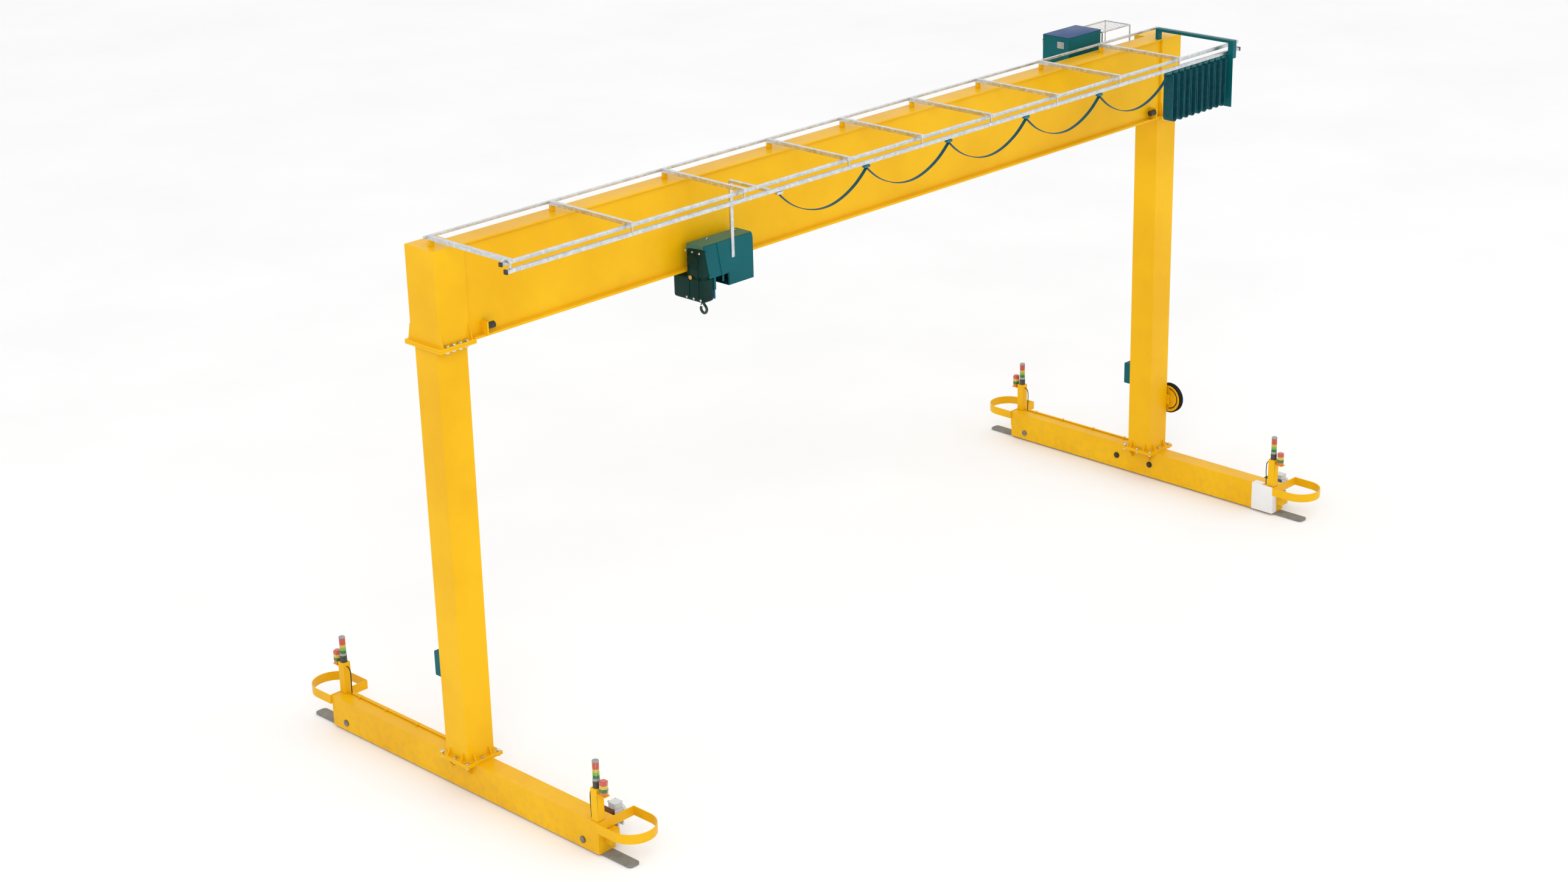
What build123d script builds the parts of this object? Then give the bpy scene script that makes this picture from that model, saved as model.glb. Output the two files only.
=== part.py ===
from build123d import *
import math
import os

# Portable gantry crane: a box girder on two legs, each leg on a wheeled carriage.
# Millimetres, +Z up, +X along the girder, -Y towards the side that carries the festoon cable.
# The origin is on the floor, under the centre of the whole crane's box.

# ---- driving dimensions -------------------------------------------------------------------
span = 10000  # leg centre to leg centre
leg_height = 3862  # base plate to cap plate
girder_depth = 859  # underside of the bottom flange to the top of the top flange
carriage_length = 3700  # along Y, without the nose boxes
carriage_width = 190
carriage_height = 303
floor_gap = 22  # under the carriage, which the wheels lift off the floor
carriage_wall = 8

leg_base_x = 300  # column section at the base, along X and along Y
leg_base_y = 300
leg_top_x = 330  # column section at the cap
leg_top_y = 290
leg_wall = 10
plate_side = 410  # square base plate, and the seat plate under it
seat_plate = 14
base_plate = 18
cap_plate = 20
cap_x = 400  # cap plate and head plate, along X and along Y
cap_y = 470

head_plate = 22  # the same thickness as the girder's bottom flange
head_x = 328  # head box over each leg
head_y = 380
head_wall = 10
box_width = 180  # girder box, outside the webs
web = 8
top_flange = 12
top_flange_width = 230
bottom_flange_width = 270
girder_offset = -70  # girder centreline from the legs' centreline, along Y
diaphragms = 9

bolt_radius = 11
bolt_hole = 12  # clearance hole radius
bolt_head = 14  # thickness of head and nut
bolt_corner = 20  # hexagon corner radius
base_bolt_pitch = 178
head_bolt_row = 212
head_bolt_pitch = 70

hoop_width = 440
hoop_reach = 430
hoop_offset = 105  # hoop centre from the carriage centre, along X
hoop_band = 90
hoop_thick = 8
hoop_z = 240
nose_x = (-20, 90)
nose_z = (110, 235)
nose_length = 70

wheel_radius = 100
wheel_tread = 70
wheel_boss = 120
wheel_inset = 200  # wheel centre from the carriage end
axle_radius = 20
running = 0.05  # radial running clearance of shafts
seat_gap = 0.3  # under what rests on a sloping or a soft face
press_gap = 0.1  # radial clearance of pinned holes

gearbox = 70  # travel gearbox and motor, along X
motor_length = 140
motor_radius = 80

guard_width = 125
guard_thick = 15
guard_out = 350  # how far the floor guard stands out of the carriage
guard_under = 120

post_side = 80
post_height = 315
post_inset = 45
light_radius = 30
light_levels = [("base", 90), ("green", 60), ("amber", 28), ("red", 66), ("cap", 20)]
light_nodes = {"base": "housings", "cap": "housings"}
beacon_side = 80
beacon_height = 140
beacon_arm = 50
beacon_shelf = 8
beacon_drop = 45  # beacon shelf below the post's top

arm_side = 36
arm_reach = (-1060, -10)  # festoon arms along Y, from the legs' centreline
arm_pitch = 1000
arm_outset = 60  # last arm beyond the left leg's centre
arms_right = 7  # arms at the short pitch, counted from the right leg
arms_left = 3
arm_inset = 40  # last arm from the right leg's centre
arm_rise = 54  # post under the arm
post_plate = 50
rail_side = 30
back_rail_side = 24
track_y = -1045  # cable track from the legs' centreline
rail_y = -985
track_side = 32
track_wall = 2.5
track_slot = 12
track_drop = 50  # from the arm's underside to the track's top
tie_side = 12
track_overrun = 40

carrier_block = (70, 40, 24)
carrier_roller = (60, 22, 16)
carrier_neck = 8
carrier_gap = 6  # between the track and the clamp
carrier_seat = 0.3
moving_carriers = 4
parked_carriers = 10
parked_pitch = 105
parked_inset = 1220  # first parked carrier from the right leg's centre
ribbon_width = 140  # parked flat cables, side by side
ribbon_thick = 16
ribbon_gap = 10
ribbon_depth = 490
cable_radius = 8

trolley_x = -1950  # trolley centre from the girder's middle
trolley_half = 230
side_plate = 12
side_plate_z = (-89, 161)  # from the flange underside
flange_clear = 8
roller_radius = 55
roller_width = 38
roller_pin = 12
roller_spacing = 150
tie_spacing = 190
tie_bar = 30
hoist_depth = 205  # along Y, from the near side plate to the hoist's face
# lengths along X from the trolley's centre, and heights from the underside of the bottom flange
drum_case_along = (-234, 260)
drum_case_rise = (-159, 256)
gear_case_along = (-380, -234)
gear_case_rise = (-24, 241)
gear_sump_y = -40
gear_sump_rise = (-259, -34)
case_wall = 4
notch_along = (-210, -50)
notch_rise = -39
hook_along = -110
rope_radius = 5
drum_radius = 85
drum_rim = 10
drum_out = 100.3  # drum axis from the near side plate
drum_rise = 51
drum_along = (-200, 70)
sheave_rise = -199
sheave_pitch = 80
sheave_rim = 88
sheave_width = 24
cheek_radius = 92
cheek = 6
cheek_gap = 3
tow_bar = 20
tow_foot_rise = 101

stop_inset = 317  # trolley stop from the leg centre
buffer_radius = 30
buffer_length = 80

reel_radius = 160
reel_rim = 12
reel_width = 75
reel_z = 900
reel_y = -140
reel_gap = 30
reel_pin = 12

leg_box = (180, 90, 240)
leg_box_z = 1090

cabinet_inset = (1360, 820)  # from the right leg's centre
cabinet_y = (140, 480)
cabinet_rise = (-198, 172)  # from the girder's top
cabinet_wall = 3
cabinet_door = 4
door_gap = 0.3
hinge_length = 40
platform_inset = (790, 300)
platform_rise = 142
wire_radius = 3
wires = 7

# ---- places worked out from the dimensions -------------------------------------------------
hoop_side = hoop_offset + hoop_width / 2
mid_x = -(hoop_side - plate_side / 2) / 2  # the hoops reach further right than the base plates
leg_xs = {"left": mid_x - span / 2, "right": mid_x + span / 2}
leg_y = -60  # the carriages stand this much further out on the far side
carriage_end = carriage_length / 2
carriage_top = floor_gap + carriage_height
seat_top = carriage_top + seat_plate
column_foot = seat_top + base_plate
column_top = column_foot + leg_height
cap_top = column_top + cap_plate
flange_top = cap_top + head_plate
girder_top = cap_top + girder_depth
girder_y = leg_y + girder_offset
near_web = girder_y - box_width / 2
far_web = girder_y + box_width / 2
near_flange = girder_y - bottom_flange_width / 2
far_flange = girder_y + bottom_flange_width / 2
wheel_y = carriage_end - wheel_inset
arm_bottom = girder_top + arm_rise
arm_top = arm_bottom + arm_side
track_top = arm_bottom - track_drop
track_bottom = track_top - track_side
carrier_top = track_bottom - carrier_gap
near_plate = near_flange - flange_clear - side_plate
far_plate = far_flange + flange_clear + side_plate
case_back = near_plate
case_front = near_plate - hoist_depth
drum_y = near_plate - drum_out - leg_y
ends = (-1, 1)
right_arm = span / 2 - arm_inset
arm_xs = [mid_x + right_arm - arm_pitch * i for i in range(arms_right)]
arm_pitch_left = (arm_xs[-1] - (leg_xs["left"] - arm_outset)) / arms_left
arm_xs += [arm_xs[-1] - arm_pitch_left * (i + 1) for i in range(arms_left)]
track_x = (min(arm_xs) - track_overrun, max(arm_xs) + track_overrun)
parked_first = span / 2 - parked_inset
tow_x = trolley_x
hook_x = trolley_x + hook_along
carrier_pitch = (parked_first - tow_x) / (moving_carriers + 1)
drum_case_x, gear_case_x, notch_x, drum_x = (
    tuple(trolley_x + place for place in along)
    for along in (drum_case_along, gear_case_along, notch_along, drum_along))
drum_case_z, gear_case_z, gear_sump_z = (
    tuple(cap_top + rise for rise in rises)
    for rises in (drum_case_rise, gear_case_rise, gear_sump_rise))
notch_top = cap_top + notch_rise
drum_z = cap_top + drum_rise
sheave_z = cap_top + sheave_rise
cabinet_x = tuple(span / 2 - inset for inset in cabinet_inset)
platform_x = tuple(span / 2 - inset for inset in platform_inset)
cabinet_z = tuple(girder_top + rise for rise in cabinet_rise)
platform_z = girder_top + platform_rise
post_places = [(x + side * post_inset, side * (carriage_end - post_inset), side)
               for x in leg_xs.values() for side in ends]

os.makedirs("parts", exist_ok=True)


def save(builder, name):
    """Label a finished piece and write its STEP file."""
    builder.part.label = name
    export_step(builder.part, f"parts/{name}.step")


def slab(x, y, z, mode=Mode.ADD):
    """A box between three (low, high) pairs."""
    with Locations(((x[0] + x[1]) / 2, (y[0] + y[1]) / 2, (z[0] + z[1]) / 2)):
        Box(x[1] - x[0], y[1] - y[0], z[1] - z[0], mode=mode)


def rod(axis, centre, radius, length, mode=Mode.ADD):
    """A round bar centred on a point, along x, y or z."""
    turn = {"x": (0, 90, 0), "y": (90, 0, 0), "z": (0, 0, 0)}[axis]
    with Locations(centre):
        Cylinder(radius, length, rotation=turn, mode=mode)


def about(centre, half):
    """The (low, high) pair of a length centred on a place."""
    return (centre - half, centre + half)


def rib(corner, out, up, thick, mode=Mode.ADD):
    """A gusset: out is its (x, y) foot along X or Y, and up its height, from its square corner."""
    x, y, z = corner
    foot_x, foot_y = out
    along_y = foot_x == 0
    foot = foot_y if along_y else foot_x
    plane = Plane((x, y, z), x_dir=(0, 1, 0), z_dir=(1, 0, 0)) if along_y else \
        Plane((x, y, z), x_dir=(1, 0, 0), z_dir=(0, -1, 0))
    with BuildPart(mode=Mode.PRIVATE) as gusset:
        with BuildSketch(plane):
            Polygon((0, 0), (foot, 0), (foot * 0.25, up), (0, up), align=None)
        extrude(amount=thick / 2, both=True)
    add(gusset.part, mode=mode)


# ---- girder and head boxes -----------------------------------------------------------------
def make_girder():
    """Box girder with its diaphragms and the brackets of the trolley stops."""
    box_x = (leg_xs["left"] + head_x / 2, leg_xs["right"] - head_x / 2)
    flange_x = (leg_xs["left"] + cap_x / 2, leg_xs["right"] - cap_x / 2)
    web_z = (flange_top, girder_top - top_flange)
    with BuildPart() as girder:
        slab(box_x, about(girder_y, top_flange_width / 2), (web_z[1], girder_top))
        slab(flange_x, about(girder_y, bottom_flange_width / 2), (cap_top, flange_top))
        slab(box_x, about(girder_y, box_width / 2), web_z)
        bay = (box_x[1] - box_x[0]) / (diaphragms + 1)
        for i in range(diaphragms + 1):
            x = box_x[0] + bay * i
            slab((x + web / 2, x + bay - web / 2), about(girder_y, box_width / 2 - web), web_z,
                 mode=Mode.SUBTRACT)
        for side, x in zip((1, -1), leg_xs.values()):
            stop = x + side * stop_inset
            slab(about(stop, 8), (near_plate - 25, near_web), (flange_top, flange_top + 120))
    save(girder, "girder")


def make_head_box(name):
    """Closed box over a leg, on the head plate that bolts to the leg's cap."""
    x = leg_xs[name]
    inner_x, inner_y = head_x / 2 - head_wall, head_y / 2 - head_wall
    with BuildPart() as head:
        slab(about(x, cap_x / 2), about(leg_y, cap_y / 2), (cap_top, flange_top))
        slab(about(x, head_x / 2), about(leg_y, head_y / 2), (flange_top, girder_top))
        slab(about(x, inner_x), about(leg_y, inner_y), (flange_top, girder_top - head_wall),
             mode=Mode.SUBTRACT)
        for side in ends:
            for along in ends:
                rib((x + along * (head_x / 2 - 5), leg_y + side * head_y / 2, flange_top),
                    (0, side * 40), 140, 10)
        with Locations((x, leg_y, cap_top + head_plate / 2)):
            with GridLocations(head_bolt_pitch, 2 * head_bolt_row, 4, 2):
                Hole(bolt_hole, head_plate)
    save(head, f"head_box_{name}")


# ---- legs ----------------------------------------------------------------------------------
def make_leg(name):
    """Tapered box column with its base plate, cap plate, gussets and tie-down lug."""
    x = leg_xs[name]
    with BuildPart() as leg:
        slab(about(x, plate_side / 2), about(leg_y, plate_side / 2), (seat_top, column_foot))
        slab(about(x, cap_x / 2), about(leg_y, cap_y / 2), (column_top, cap_top))
        with BuildSketch(Plane((x, leg_y, column_foot))):
            Rectangle(leg_base_x, leg_base_y)
        with BuildSketch(Plane((x, leg_y, column_top))):
            Rectangle(leg_top_x, leg_top_y)
        loft()
        with BuildSketch(Plane((x, leg_y, column_foot))):
            Rectangle(leg_base_x - 2 * leg_wall, leg_base_y - 2 * leg_wall)
        with BuildSketch(Plane((x, leg_y, column_top))):
            Rectangle(leg_top_x - 2 * leg_wall, leg_top_y - 2 * leg_wall)
        loft(mode=Mode.SUBTRACT)
        for side in ends:
            for along in (-90, 90):
                rib((x + along, leg_y + side * (leg_base_y / 2 - 1), column_foot), (0, side * 45), 70, 10)
                rib((x + side * (leg_base_x / 2 - 1), leg_y + along, column_foot), (side * 45, 0), 70, 10)
        lug_x = x + leg_base_x / 2
        slab((lug_x - 1, lug_x + 80), about(leg_y + 30, 6), (column_foot + 20, column_foot + 125))
        rod("y", (lug_x + 48, leg_y + 30, column_foot + 82), 16, 14, mode=Mode.SUBTRACT)
        slab((lug_x - 1, lug_x + 30), about(leg_y + 30, 6), (column_foot - 1, column_foot + 25))
        with Locations((x, leg_y, column_top + cap_plate / 2)):
            with GridLocations(head_bolt_pitch, 2 * head_bolt_row, 4, 2):
                Hole(bolt_hole, cap_plate)
        with Locations((x, leg_y, seat_top + base_plate / 2)):
            with GridLocations(base_bolt_pitch, base_bolt_pitch, 3, 3):
                Hole(bolt_hole, base_plate)
    save(leg, f"leg_{name}")


def make_joint_bolts():
    """Bolts of the two head joints and the two base joints."""
    head_xs = [head_bolt_pitch * (i - 1.5) for i in range(4)]
    heads = [(x + dx, leg_y + side * head_bolt_row)
             for x in leg_xs.values() for dx in head_xs for side in ends]
    steps = (-base_bolt_pitch, 0, base_bolt_pitch)
    bases = [(x + dx, leg_y + dy) for x in leg_xs.values() for dx in steps for dy in steps
             if (dx, dy) != (0, 0)]
    with BuildPart() as bolts:
        for centres, low, high in ((heads, column_top, flange_top), (bases, carriage_top, column_foot)):
            with BuildSketch(Plane.XY.offset(high)):
                with Locations(*centres):
                    RegularPolygon(bolt_corner, 6)
            extrude(amount=bolt_head)
            with BuildSketch(Plane.XY.offset(low)):
                with Locations(*centres):
                    RegularPolygon(bolt_corner, 6)
            extrude(amount=-bolt_head)
            with BuildSketch(Plane.XY.offset(low)):
                with Locations(*centres):
                    Circle(bolt_radius)
            extrude(amount=high - low)
    save(bolts, "joint_bolts")


# ---- carriages -----------------------------------------------------------------------------
def make_carriage(name):
    """Closed box beam with wheel wells, axle holes, nose boxes and the leg's seat plate."""
    x = leg_xs[name]
    half = carriage_width / 2
    inner = half - carriage_wall
    low, high = floor_gap + carriage_wall, carriage_top - carriage_wall
    with BuildPart() as carriage:
        slab(about(x, half), about(0, carriage_end), (floor_gap, carriage_top))
        slab(about(x, inner), about(0, carriage_end - carriage_wall), (low, high), mode=Mode.SUBTRACT)
        slab(about(x, plate_side / 2), about(leg_y, plate_side / 2), (carriage_top, seat_top))
        for side in ends:
            wheel = side * wheel_y
            slab(about(x, wheel_tread / 2 + 8), about(wheel, wheel_radius + 10),
                 (floor_gap, low), mode=Mode.SUBTRACT)
            rod("x", (x, wheel, wheel_radius), axle_radius + press_gap, carriage_width + 10,
                mode=Mode.SUBTRACT)
            nose = sorted((side * carriage_end, side * (carriage_end + nose_length)))
            slab((x + nose_x[0], x + nose_x[1]), nose, nose_z)
            for along in (-120, 120):
                rib((x + side * half, leg_y + along, carriage_top), (side * 90, 0), -110, 10)
        with Locations((x, leg_y, carriage_top + seat_plate / 2)):
            with GridLocations(base_bolt_pitch, base_bolt_pitch, 3, 3):
                Hole(bolt_hole, seat_plate)
        bore = bolt_corner + 4  # room for the nuts that stand inside the beam
        for dy in (-base_bolt_pitch, base_bolt_pitch):
            rod("z", (x, leg_y + dy, carriage_top - carriage_wall / 2), bore, carriage_wall,
                mode=Mode.SUBTRACT)
    save(carriage, f"carriage_{name}")


def make_hoops():
    """Flat-band bumper hoops, one on each carriage end."""
    straight = hoop_reach - hoop_width / 2
    with BuildPart() as hoops:
        for x in leg_xs.values():
            for side in ends:
                root = side * carriage_end
                centre = x + hoop_offset
                plane = Plane((centre, root, hoop_z), x_dir=(side, 0, 0), z_dir=(0, 0, 1))
                with BuildSketch(plane):
                    with Locations((0, straight / 2)):
                        Rectangle(hoop_width, straight)
                    with Locations((0, straight)):
                        Circle(hoop_width / 2)
                    with Locations((0, hoop_thick + (straight - hoop_thick) / 2)):
                        Rectangle(hoop_width - 2 * hoop_thick, straight - hoop_thick, mode=Mode.SUBTRACT)
                    with Locations((0, straight)):
                        Circle(hoop_width / 2 - hoop_thick, mode=Mode.SUBTRACT)
                    with Locations((0, -hoop_width)):
                        Rectangle(2 * hoop_width, 2 * hoop_width, mode=Mode.SUBTRACT)
                    with Locations((0, hoop_thick / 2)):
                        Rectangle(hoop_width, hoop_thick)
                extrude(amount=hoop_band)
    save(hoops, "bumper_hoops")


def make_floor_guards():
    """Flat rounded guards that clear the floor ahead of the wheels."""
    long = guard_out + guard_under
    low = floor_gap - guard_thick
    with BuildPart() as guards:
        for x in leg_xs.values():
            for side in ends:
                middle = side * (carriage_end + (guard_out - guard_under) / 2)
                with BuildSketch(Plane((x, middle, low))):
                    RectangleRounded(guard_width, long, guard_width * 0.3)
                extrude(amount=guard_thick)
    save(guards, "floor_guards")


def make_wheel(name, x, y):
    """Travel wheel with a bonded tyre, running on its axle."""
    with BuildPart() as wheel:
        rod("x", (x, y, wheel_radius), wheel_radius, wheel_tread)
        rod("x", (x, y, wheel_radius), wheel_radius * 0.45, wheel_boss)
        for side in ends:
            rod("x", (x + side * wheel_tread * 0.42, y, wheel_radius), wheel_radius * 0.78,
                wheel_tread * 0.16, mode=Mode.SUBTRACT)
            rod("x", (x + side * wheel_tread * 0.42, y, wheel_radius), wheel_radius * 0.45,
                wheel_tread * 0.16)
        rod("x", (x, y, wheel_radius), axle_radius + running, wheel_boss + 2, mode=Mode.SUBTRACT)
    with BuildPart() as finished:
        add(wheel.part)
        chamfer(finished.edges().filter_by(GeomType.CIRCLE).group_by(SortBy.RADIUS)[-1], 4)
    save(finished, name)


def make_axles():
    """Axle pins of the four travel wheels, with their keeper heads."""
    reach = carriage_width / 2
    with BuildPart() as axles:
        for x in leg_xs.values():
            for side in ends:
                centre = (x, side * wheel_y, wheel_radius)
                rod("x", centre, axle_radius, carriage_width)
                rod("x", (x - reach - 5, side * wheel_y, wheel_radius), axle_radius + 12, 10)
    save(axles, "wheel_axles")


def make_drives():
    """Geared travel motors on the inner side of the carriages' near ends."""
    with BuildPart() as drives:
        for x in leg_xs.values():
            face = x + carriage_width / 2
            slab((face, face + gearbox), (-wheel_y - 140, -wheel_y + 60), (50, 330))
            motor = face + gearbox
            rod("x", (motor + motor_length / 2, -wheel_y - 70, 240), motor_radius, motor_length)
            rod("x", (motor + motor_length + 10, -wheel_y - 70, 240), motor_radius - 10, 20)
            slab((motor + 20, motor + 110), (-wheel_y - 115, -wheel_y - 25), (300, 385))
    save(drives, "travel_motors")


def make_drive_cover():
    """Sheet cover over the drive end of the right carriage."""
    x = leg_xs["right"]
    side = x - carriage_width / 2
    near = -carriage_end
    sheet = 3
    with BuildPart() as cover:
        slab((side - 14, side - 14 + sheet), (near, near + 270), (floor_gap + 2, carriage_top + 8))
        slab((side - 14, x + nose_x[0] - 5), (near - sheet, near), (floor_gap + 2, hoop_z - 2))
        slab((side - 14, x - 20), (near + 150, near + 270), (carriage_top, carriage_top + sheet))
        slab((side - 14, side), (near + 255, near + 270), (60, carriage_top))
    save(cover, "drive_cover")


def make_plugs():
    """Round plugs that close the lifting holes beside the right leg."""
    face = leg_xs["right"] - carriage_width / 2
    with BuildPart() as plugs:
        for y in (288, -174):
            rod("x", (face - 6, y, 170), 34, 12)
            rod("x", (face - 14, y, 170), 24, 6)
    save(plugs, "carriage_plugs")


# ---- signals -------------------------------------------------------------------------------
def make_posts():
    """Square posts with the shelf that carries each side beacon."""
    with BuildPart() as posts:
        for x, y, side in post_places:
            slab(about(x, post_side / 2), about(y, post_side / 2),
                 (carriage_top, carriage_top + post_height))
            shelf = carriage_top + post_height - beacon_drop
            reach = sorted((y, y + side * (post_side / 2 + beacon_arm + beacon_side / 2)))
            slab(about(x, beacon_side / 2 - 5), reach, (shelf - beacon_shelf, shelf))
    save(posts, "signal_posts")


def make_stack_lights():
    """Stack lights: coloured lens levels between the housings of base and cap."""
    levels, low = {}, carriage_top + post_height
    for name, height in light_levels:
        levels.setdefault(light_nodes.get(name, name), []).append((name, low + height / 2, height))
        low += height
    for node, rings in levels.items():
        with BuildPart() as level:
            for name, z, height in rings:
                for x, y, _ in post_places:
                    rod("z", (x, y, z), light_radius + (5 if name == "base" else 0), height)
        save(level, f"stack_{node}")


def make_beacons():
    """Small side beacons, one on each post's shelf."""
    shelf = carriage_top + post_height - beacon_drop
    with BuildPart() as beacons:
        for x, y, side in post_places:
            centre = y + side * (post_side / 2 + beacon_arm)
            with BuildSketch(Plane((x, centre, shelf))):
                RegularPolygon(beacon_side / 2, 6)
            extrude(amount=beacon_height)
    save(beacons, "side_beacons")


def make_signal_cables():
    """Cable from each stack light's base down to the carriage, bowed out behind the post."""
    with BuildPart() as cables:
        for x, y, side in post_places:
            top = carriage_top + post_height
            face = y - side * post_side / 2
            bow = face - side * 45
            run = [(x, face, top - 40), (x, bow, top - 40), (x, bow - side * 7, top - 150),
                   (x, bow, top - 240), (x, bow, carriage_top)]
            with BuildLine() as path:
                FilletPolyline(*run, radius=[22, 200, 300])
            with BuildSketch(Plane(origin=run[0], z_dir=path.line % 0)):
                Circle(5)
            sweep(path=path.line)
    save(cables, "signal_cables")


# ---- leg boxes and cable reel ---------------------------------------------------------------
def leg_half(z, base, top):
    """Half the column's width at a height."""
    share = (z - column_foot) / leg_height
    return (base + (top - base) * share) / 2


def make_leg_boxes():
    """Junction box on the far side of each leg."""
    wide, deep, tall = leg_box
    with BuildPart() as boxes:
        for x in leg_xs.values():
            back = leg_y + leg_half(leg_box_z, leg_base_y, leg_top_y)
            slab(about(x - 50, wide / 2), (back, back + deep), (leg_box_z, leg_box_z + tall))
    save(boxes, "leg_boxes")


def make_reel():
    """Cable reel beside the right leg: bracket with its pin, disc, and rim."""
    x = leg_xs["right"]
    face = x + leg_half(reel_z + 60, leg_base_x, leg_top_x) + seat_gap
    disc = face + reel_gap
    centre_y = leg_y + reel_y
    with BuildPart() as bracket:
        slab((face, face + 12), (centre_y - 40, centre_y + 120), (reel_z - 60, reel_z + 60))
        rod("x", (face + 12 + (reel_width + 24) / 2, centre_y, reel_z), reel_pin, reel_width + 24)
        rod("x", (face + 12 + 8, centre_y, reel_z), reel_pin + 10, 17)
    save(bracket, "reel_bracket")
    middle = (disc + reel_width / 2, centre_y, reel_z)
    with BuildPart() as reel:
        rod("x", middle, reel_radius + reel_rim, reel_width)
        for side in ends:
            rod("x", (middle[0] + side * reel_width * 0.36, centre_y, reel_z), reel_radius - 14,
                reel_width * 0.28, mode=Mode.SUBTRACT)
            rod("x", (middle[0] + side * reel_width * 0.36, centre_y, reel_z), reel_pin + 16,
                reel_width * 0.28)
        rod("x", middle, reel_pin + running, reel_width + 2, mode=Mode.SUBTRACT)
    save(reel, "cable_reel")


# ---- festoon track --------------------------------------------------------------------------
def make_track_steel():
    """Arms across the girder, their posts, the rails along it and the cable track."""
    arm_y = (leg_y + arm_reach[0], leg_y + arm_reach[1])
    with BuildPart() as arms:
        for x in arm_xs:
            slab(about(x, arm_side / 2), arm_y, (arm_bottom, arm_top))
            slab(about(x, arm_side / 2 - 2), (arm_y[0] + 2, arm_y[1] - 2),
                 (arm_bottom + 2, arm_top - 2), mode=Mode.SUBTRACT)
            slab(about(x, tie_side / 2), about(leg_y + track_y, tie_side / 2), (track_top, arm_bottom))
    save(arms, "track_arms")
    with BuildPart() as posts:
        for x in arm_xs:
            slab(about(x, post_plate / 2), about(leg_y + arm_reach[1] - 30, 14), (girder_top, arm_bottom))
    save(posts, "arm_posts")
    with BuildPart() as rails:
        slab(track_x, (arm_y[1], arm_y[1] + back_rail_side), about(arm_bottom + arm_side / 2, back_rail_side / 2))
        slab(track_x, about(leg_y + rail_y, rail_side / 2), (arm_bottom - rail_side, arm_bottom))
    save(rails, "track_rails")
    wide = track_side - 2 * track_wall
    y = leg_y + track_y
    with BuildPart() as track:
        slab(track_x, about(y, track_side / 2), (track_bottom, track_top))
        slab(track_x, about(y, wide / 2), (track_bottom + track_wall, track_top - track_wall),
             mode=Mode.SUBTRACT)
        slab(track_x, about(y, track_slot / 2), (track_bottom, track_bottom + track_wall),
             mode=Mode.SUBTRACT)
    save(track, "cable_track")
    with BuildPart() as caps:
        for x, side in zip(track_x, ends):
            outer = sorted((x, x + side * 18))
            slab(outer, about(y, track_side / 2 + 4), (track_bottom - 4, track_top + 4))
            slab(outer, about(leg_y + rail_y, rail_side / 2 + 3), (arm_bottom - rail_side - 3, arm_bottom + 3))
    save(caps, "track_caps")


def carrier(x):
    """Roller block in the track, neck through its slot, and the clamp that holds the cable."""
    y = leg_y + track_y
    low = track_bottom + track_wall + carrier_seat
    slab(about(x, carrier_roller[0] / 2), about(y, carrier_roller[1] / 2), (low, low + carrier_roller[2]))
    slab(about(x, carrier_roller[0] / 4), about(y, carrier_neck / 2), (carrier_top, low + 1))
    slab(about(x, carrier_block[0] / 2), about(y, carrier_block[1] / 2),
         (carrier_top - carrier_block[2], carrier_top))


def make_carriers():
    """Moving carriers one by one, and the parked ones together."""
    for i in range(moving_carriers):
        with BuildPart() as moving:
            carrier(mid_x + tow_x + carrier_pitch * (i + 1))
        save(moving, f"carrier_{i + 1}")
    with BuildPart() as parked:
        for i in range(parked_carriers):
            carrier(mid_x + parked_first + parked_pitch * i)
    save(parked, "parked_carriers")


def make_parked_cable():
    """Flat cables folded into loops between the parked carriers."""
    y = leg_y + track_y
    top = carrier_top - carrier_block[2]
    outer = (parked_pitch - ribbon_gap) / 2
    with BuildPart() as loops:
        for i in range(parked_carriers - 1):
            x = mid_x + parked_first + parked_pitch * (i + 0.5)
            plane = Plane((x, y - ribbon_width / 2, top), x_dir=(1, 0, 0), z_dir=(0, -1, 0))
            with BuildSketch(plane):
                for radius, mode in ((outer, Mode.ADD), (outer - ribbon_thick, Mode.SUBTRACT)):
                    with Locations((0, -(ribbon_depth - outer) / 2)):
                        Rectangle(2 * radius, ribbon_depth - outer, mode=mode)
                    with Locations((0, -(ribbon_depth - outer))):
                        Circle(radius, mode=mode)
            extrude(amount=-ribbon_width)
    save(loops, "parked_cable")


# Hanging stretch of cable between two carriers: (share of the carrier pitch, drop below the
# clamp), from one clamp to the next.
loop_run = [(0.0, 0), (0.075, 79), (0.175, 154), (0.295, 212), (0.43, 248), (0.57, 250), (0.70, 216),
            (0.82, 157), (0.925, 81), (1.0, 0)]


def make_loops():
    """Hanging cable between the tow arm, the moving carriers and the first parked one."""
    y = leg_y + track_y
    lean = math.atan2(loop_run[1][1], (carrier_pitch - 8) * loop_run[1][0])
    top = carrier_top - carrier_block[2] - seat_gap - cable_radius * math.cos(lean)
    tight = math.inf
    with BuildPart() as loops:
        for i in range(moving_carriers + 1):
            x = mid_x + tow_x + carrier_pitch * i
            points = [(x + 4 + (carrier_pitch - 8) * share, y, top - drop) for share, drop in loop_run]
            radii = []
            for a, b, c in zip(points, points[1:], points[2:]):
                before, after = Vector(*b) - Vector(*a), Vector(*c) - Vector(*b)
                half_turn = math.radians(before.get_angle(after)) / 2
                radii.append(0.45 * min(before.length, after.length) / math.tan(half_turn))
            tight = min([tight, *radii])
            with BuildLine() as path:
                FilletPolyline(*points, radius=radii)
            with BuildSketch(Plane(origin=points[0], z_dir=path.line % 0)):
                Circle(cable_radius)
            sweep(path=path.line)
            length = sum(edge.length for edge in path.edges())
    print("loop length", round(length), "tightest radius", round(tight),
          "volume ratio", round(loops.part.volume / (moving_carriers + 1) / length
                                / (math.pi * cable_radius ** 2), 4))
    save(loops, "festoon_loops")


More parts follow.
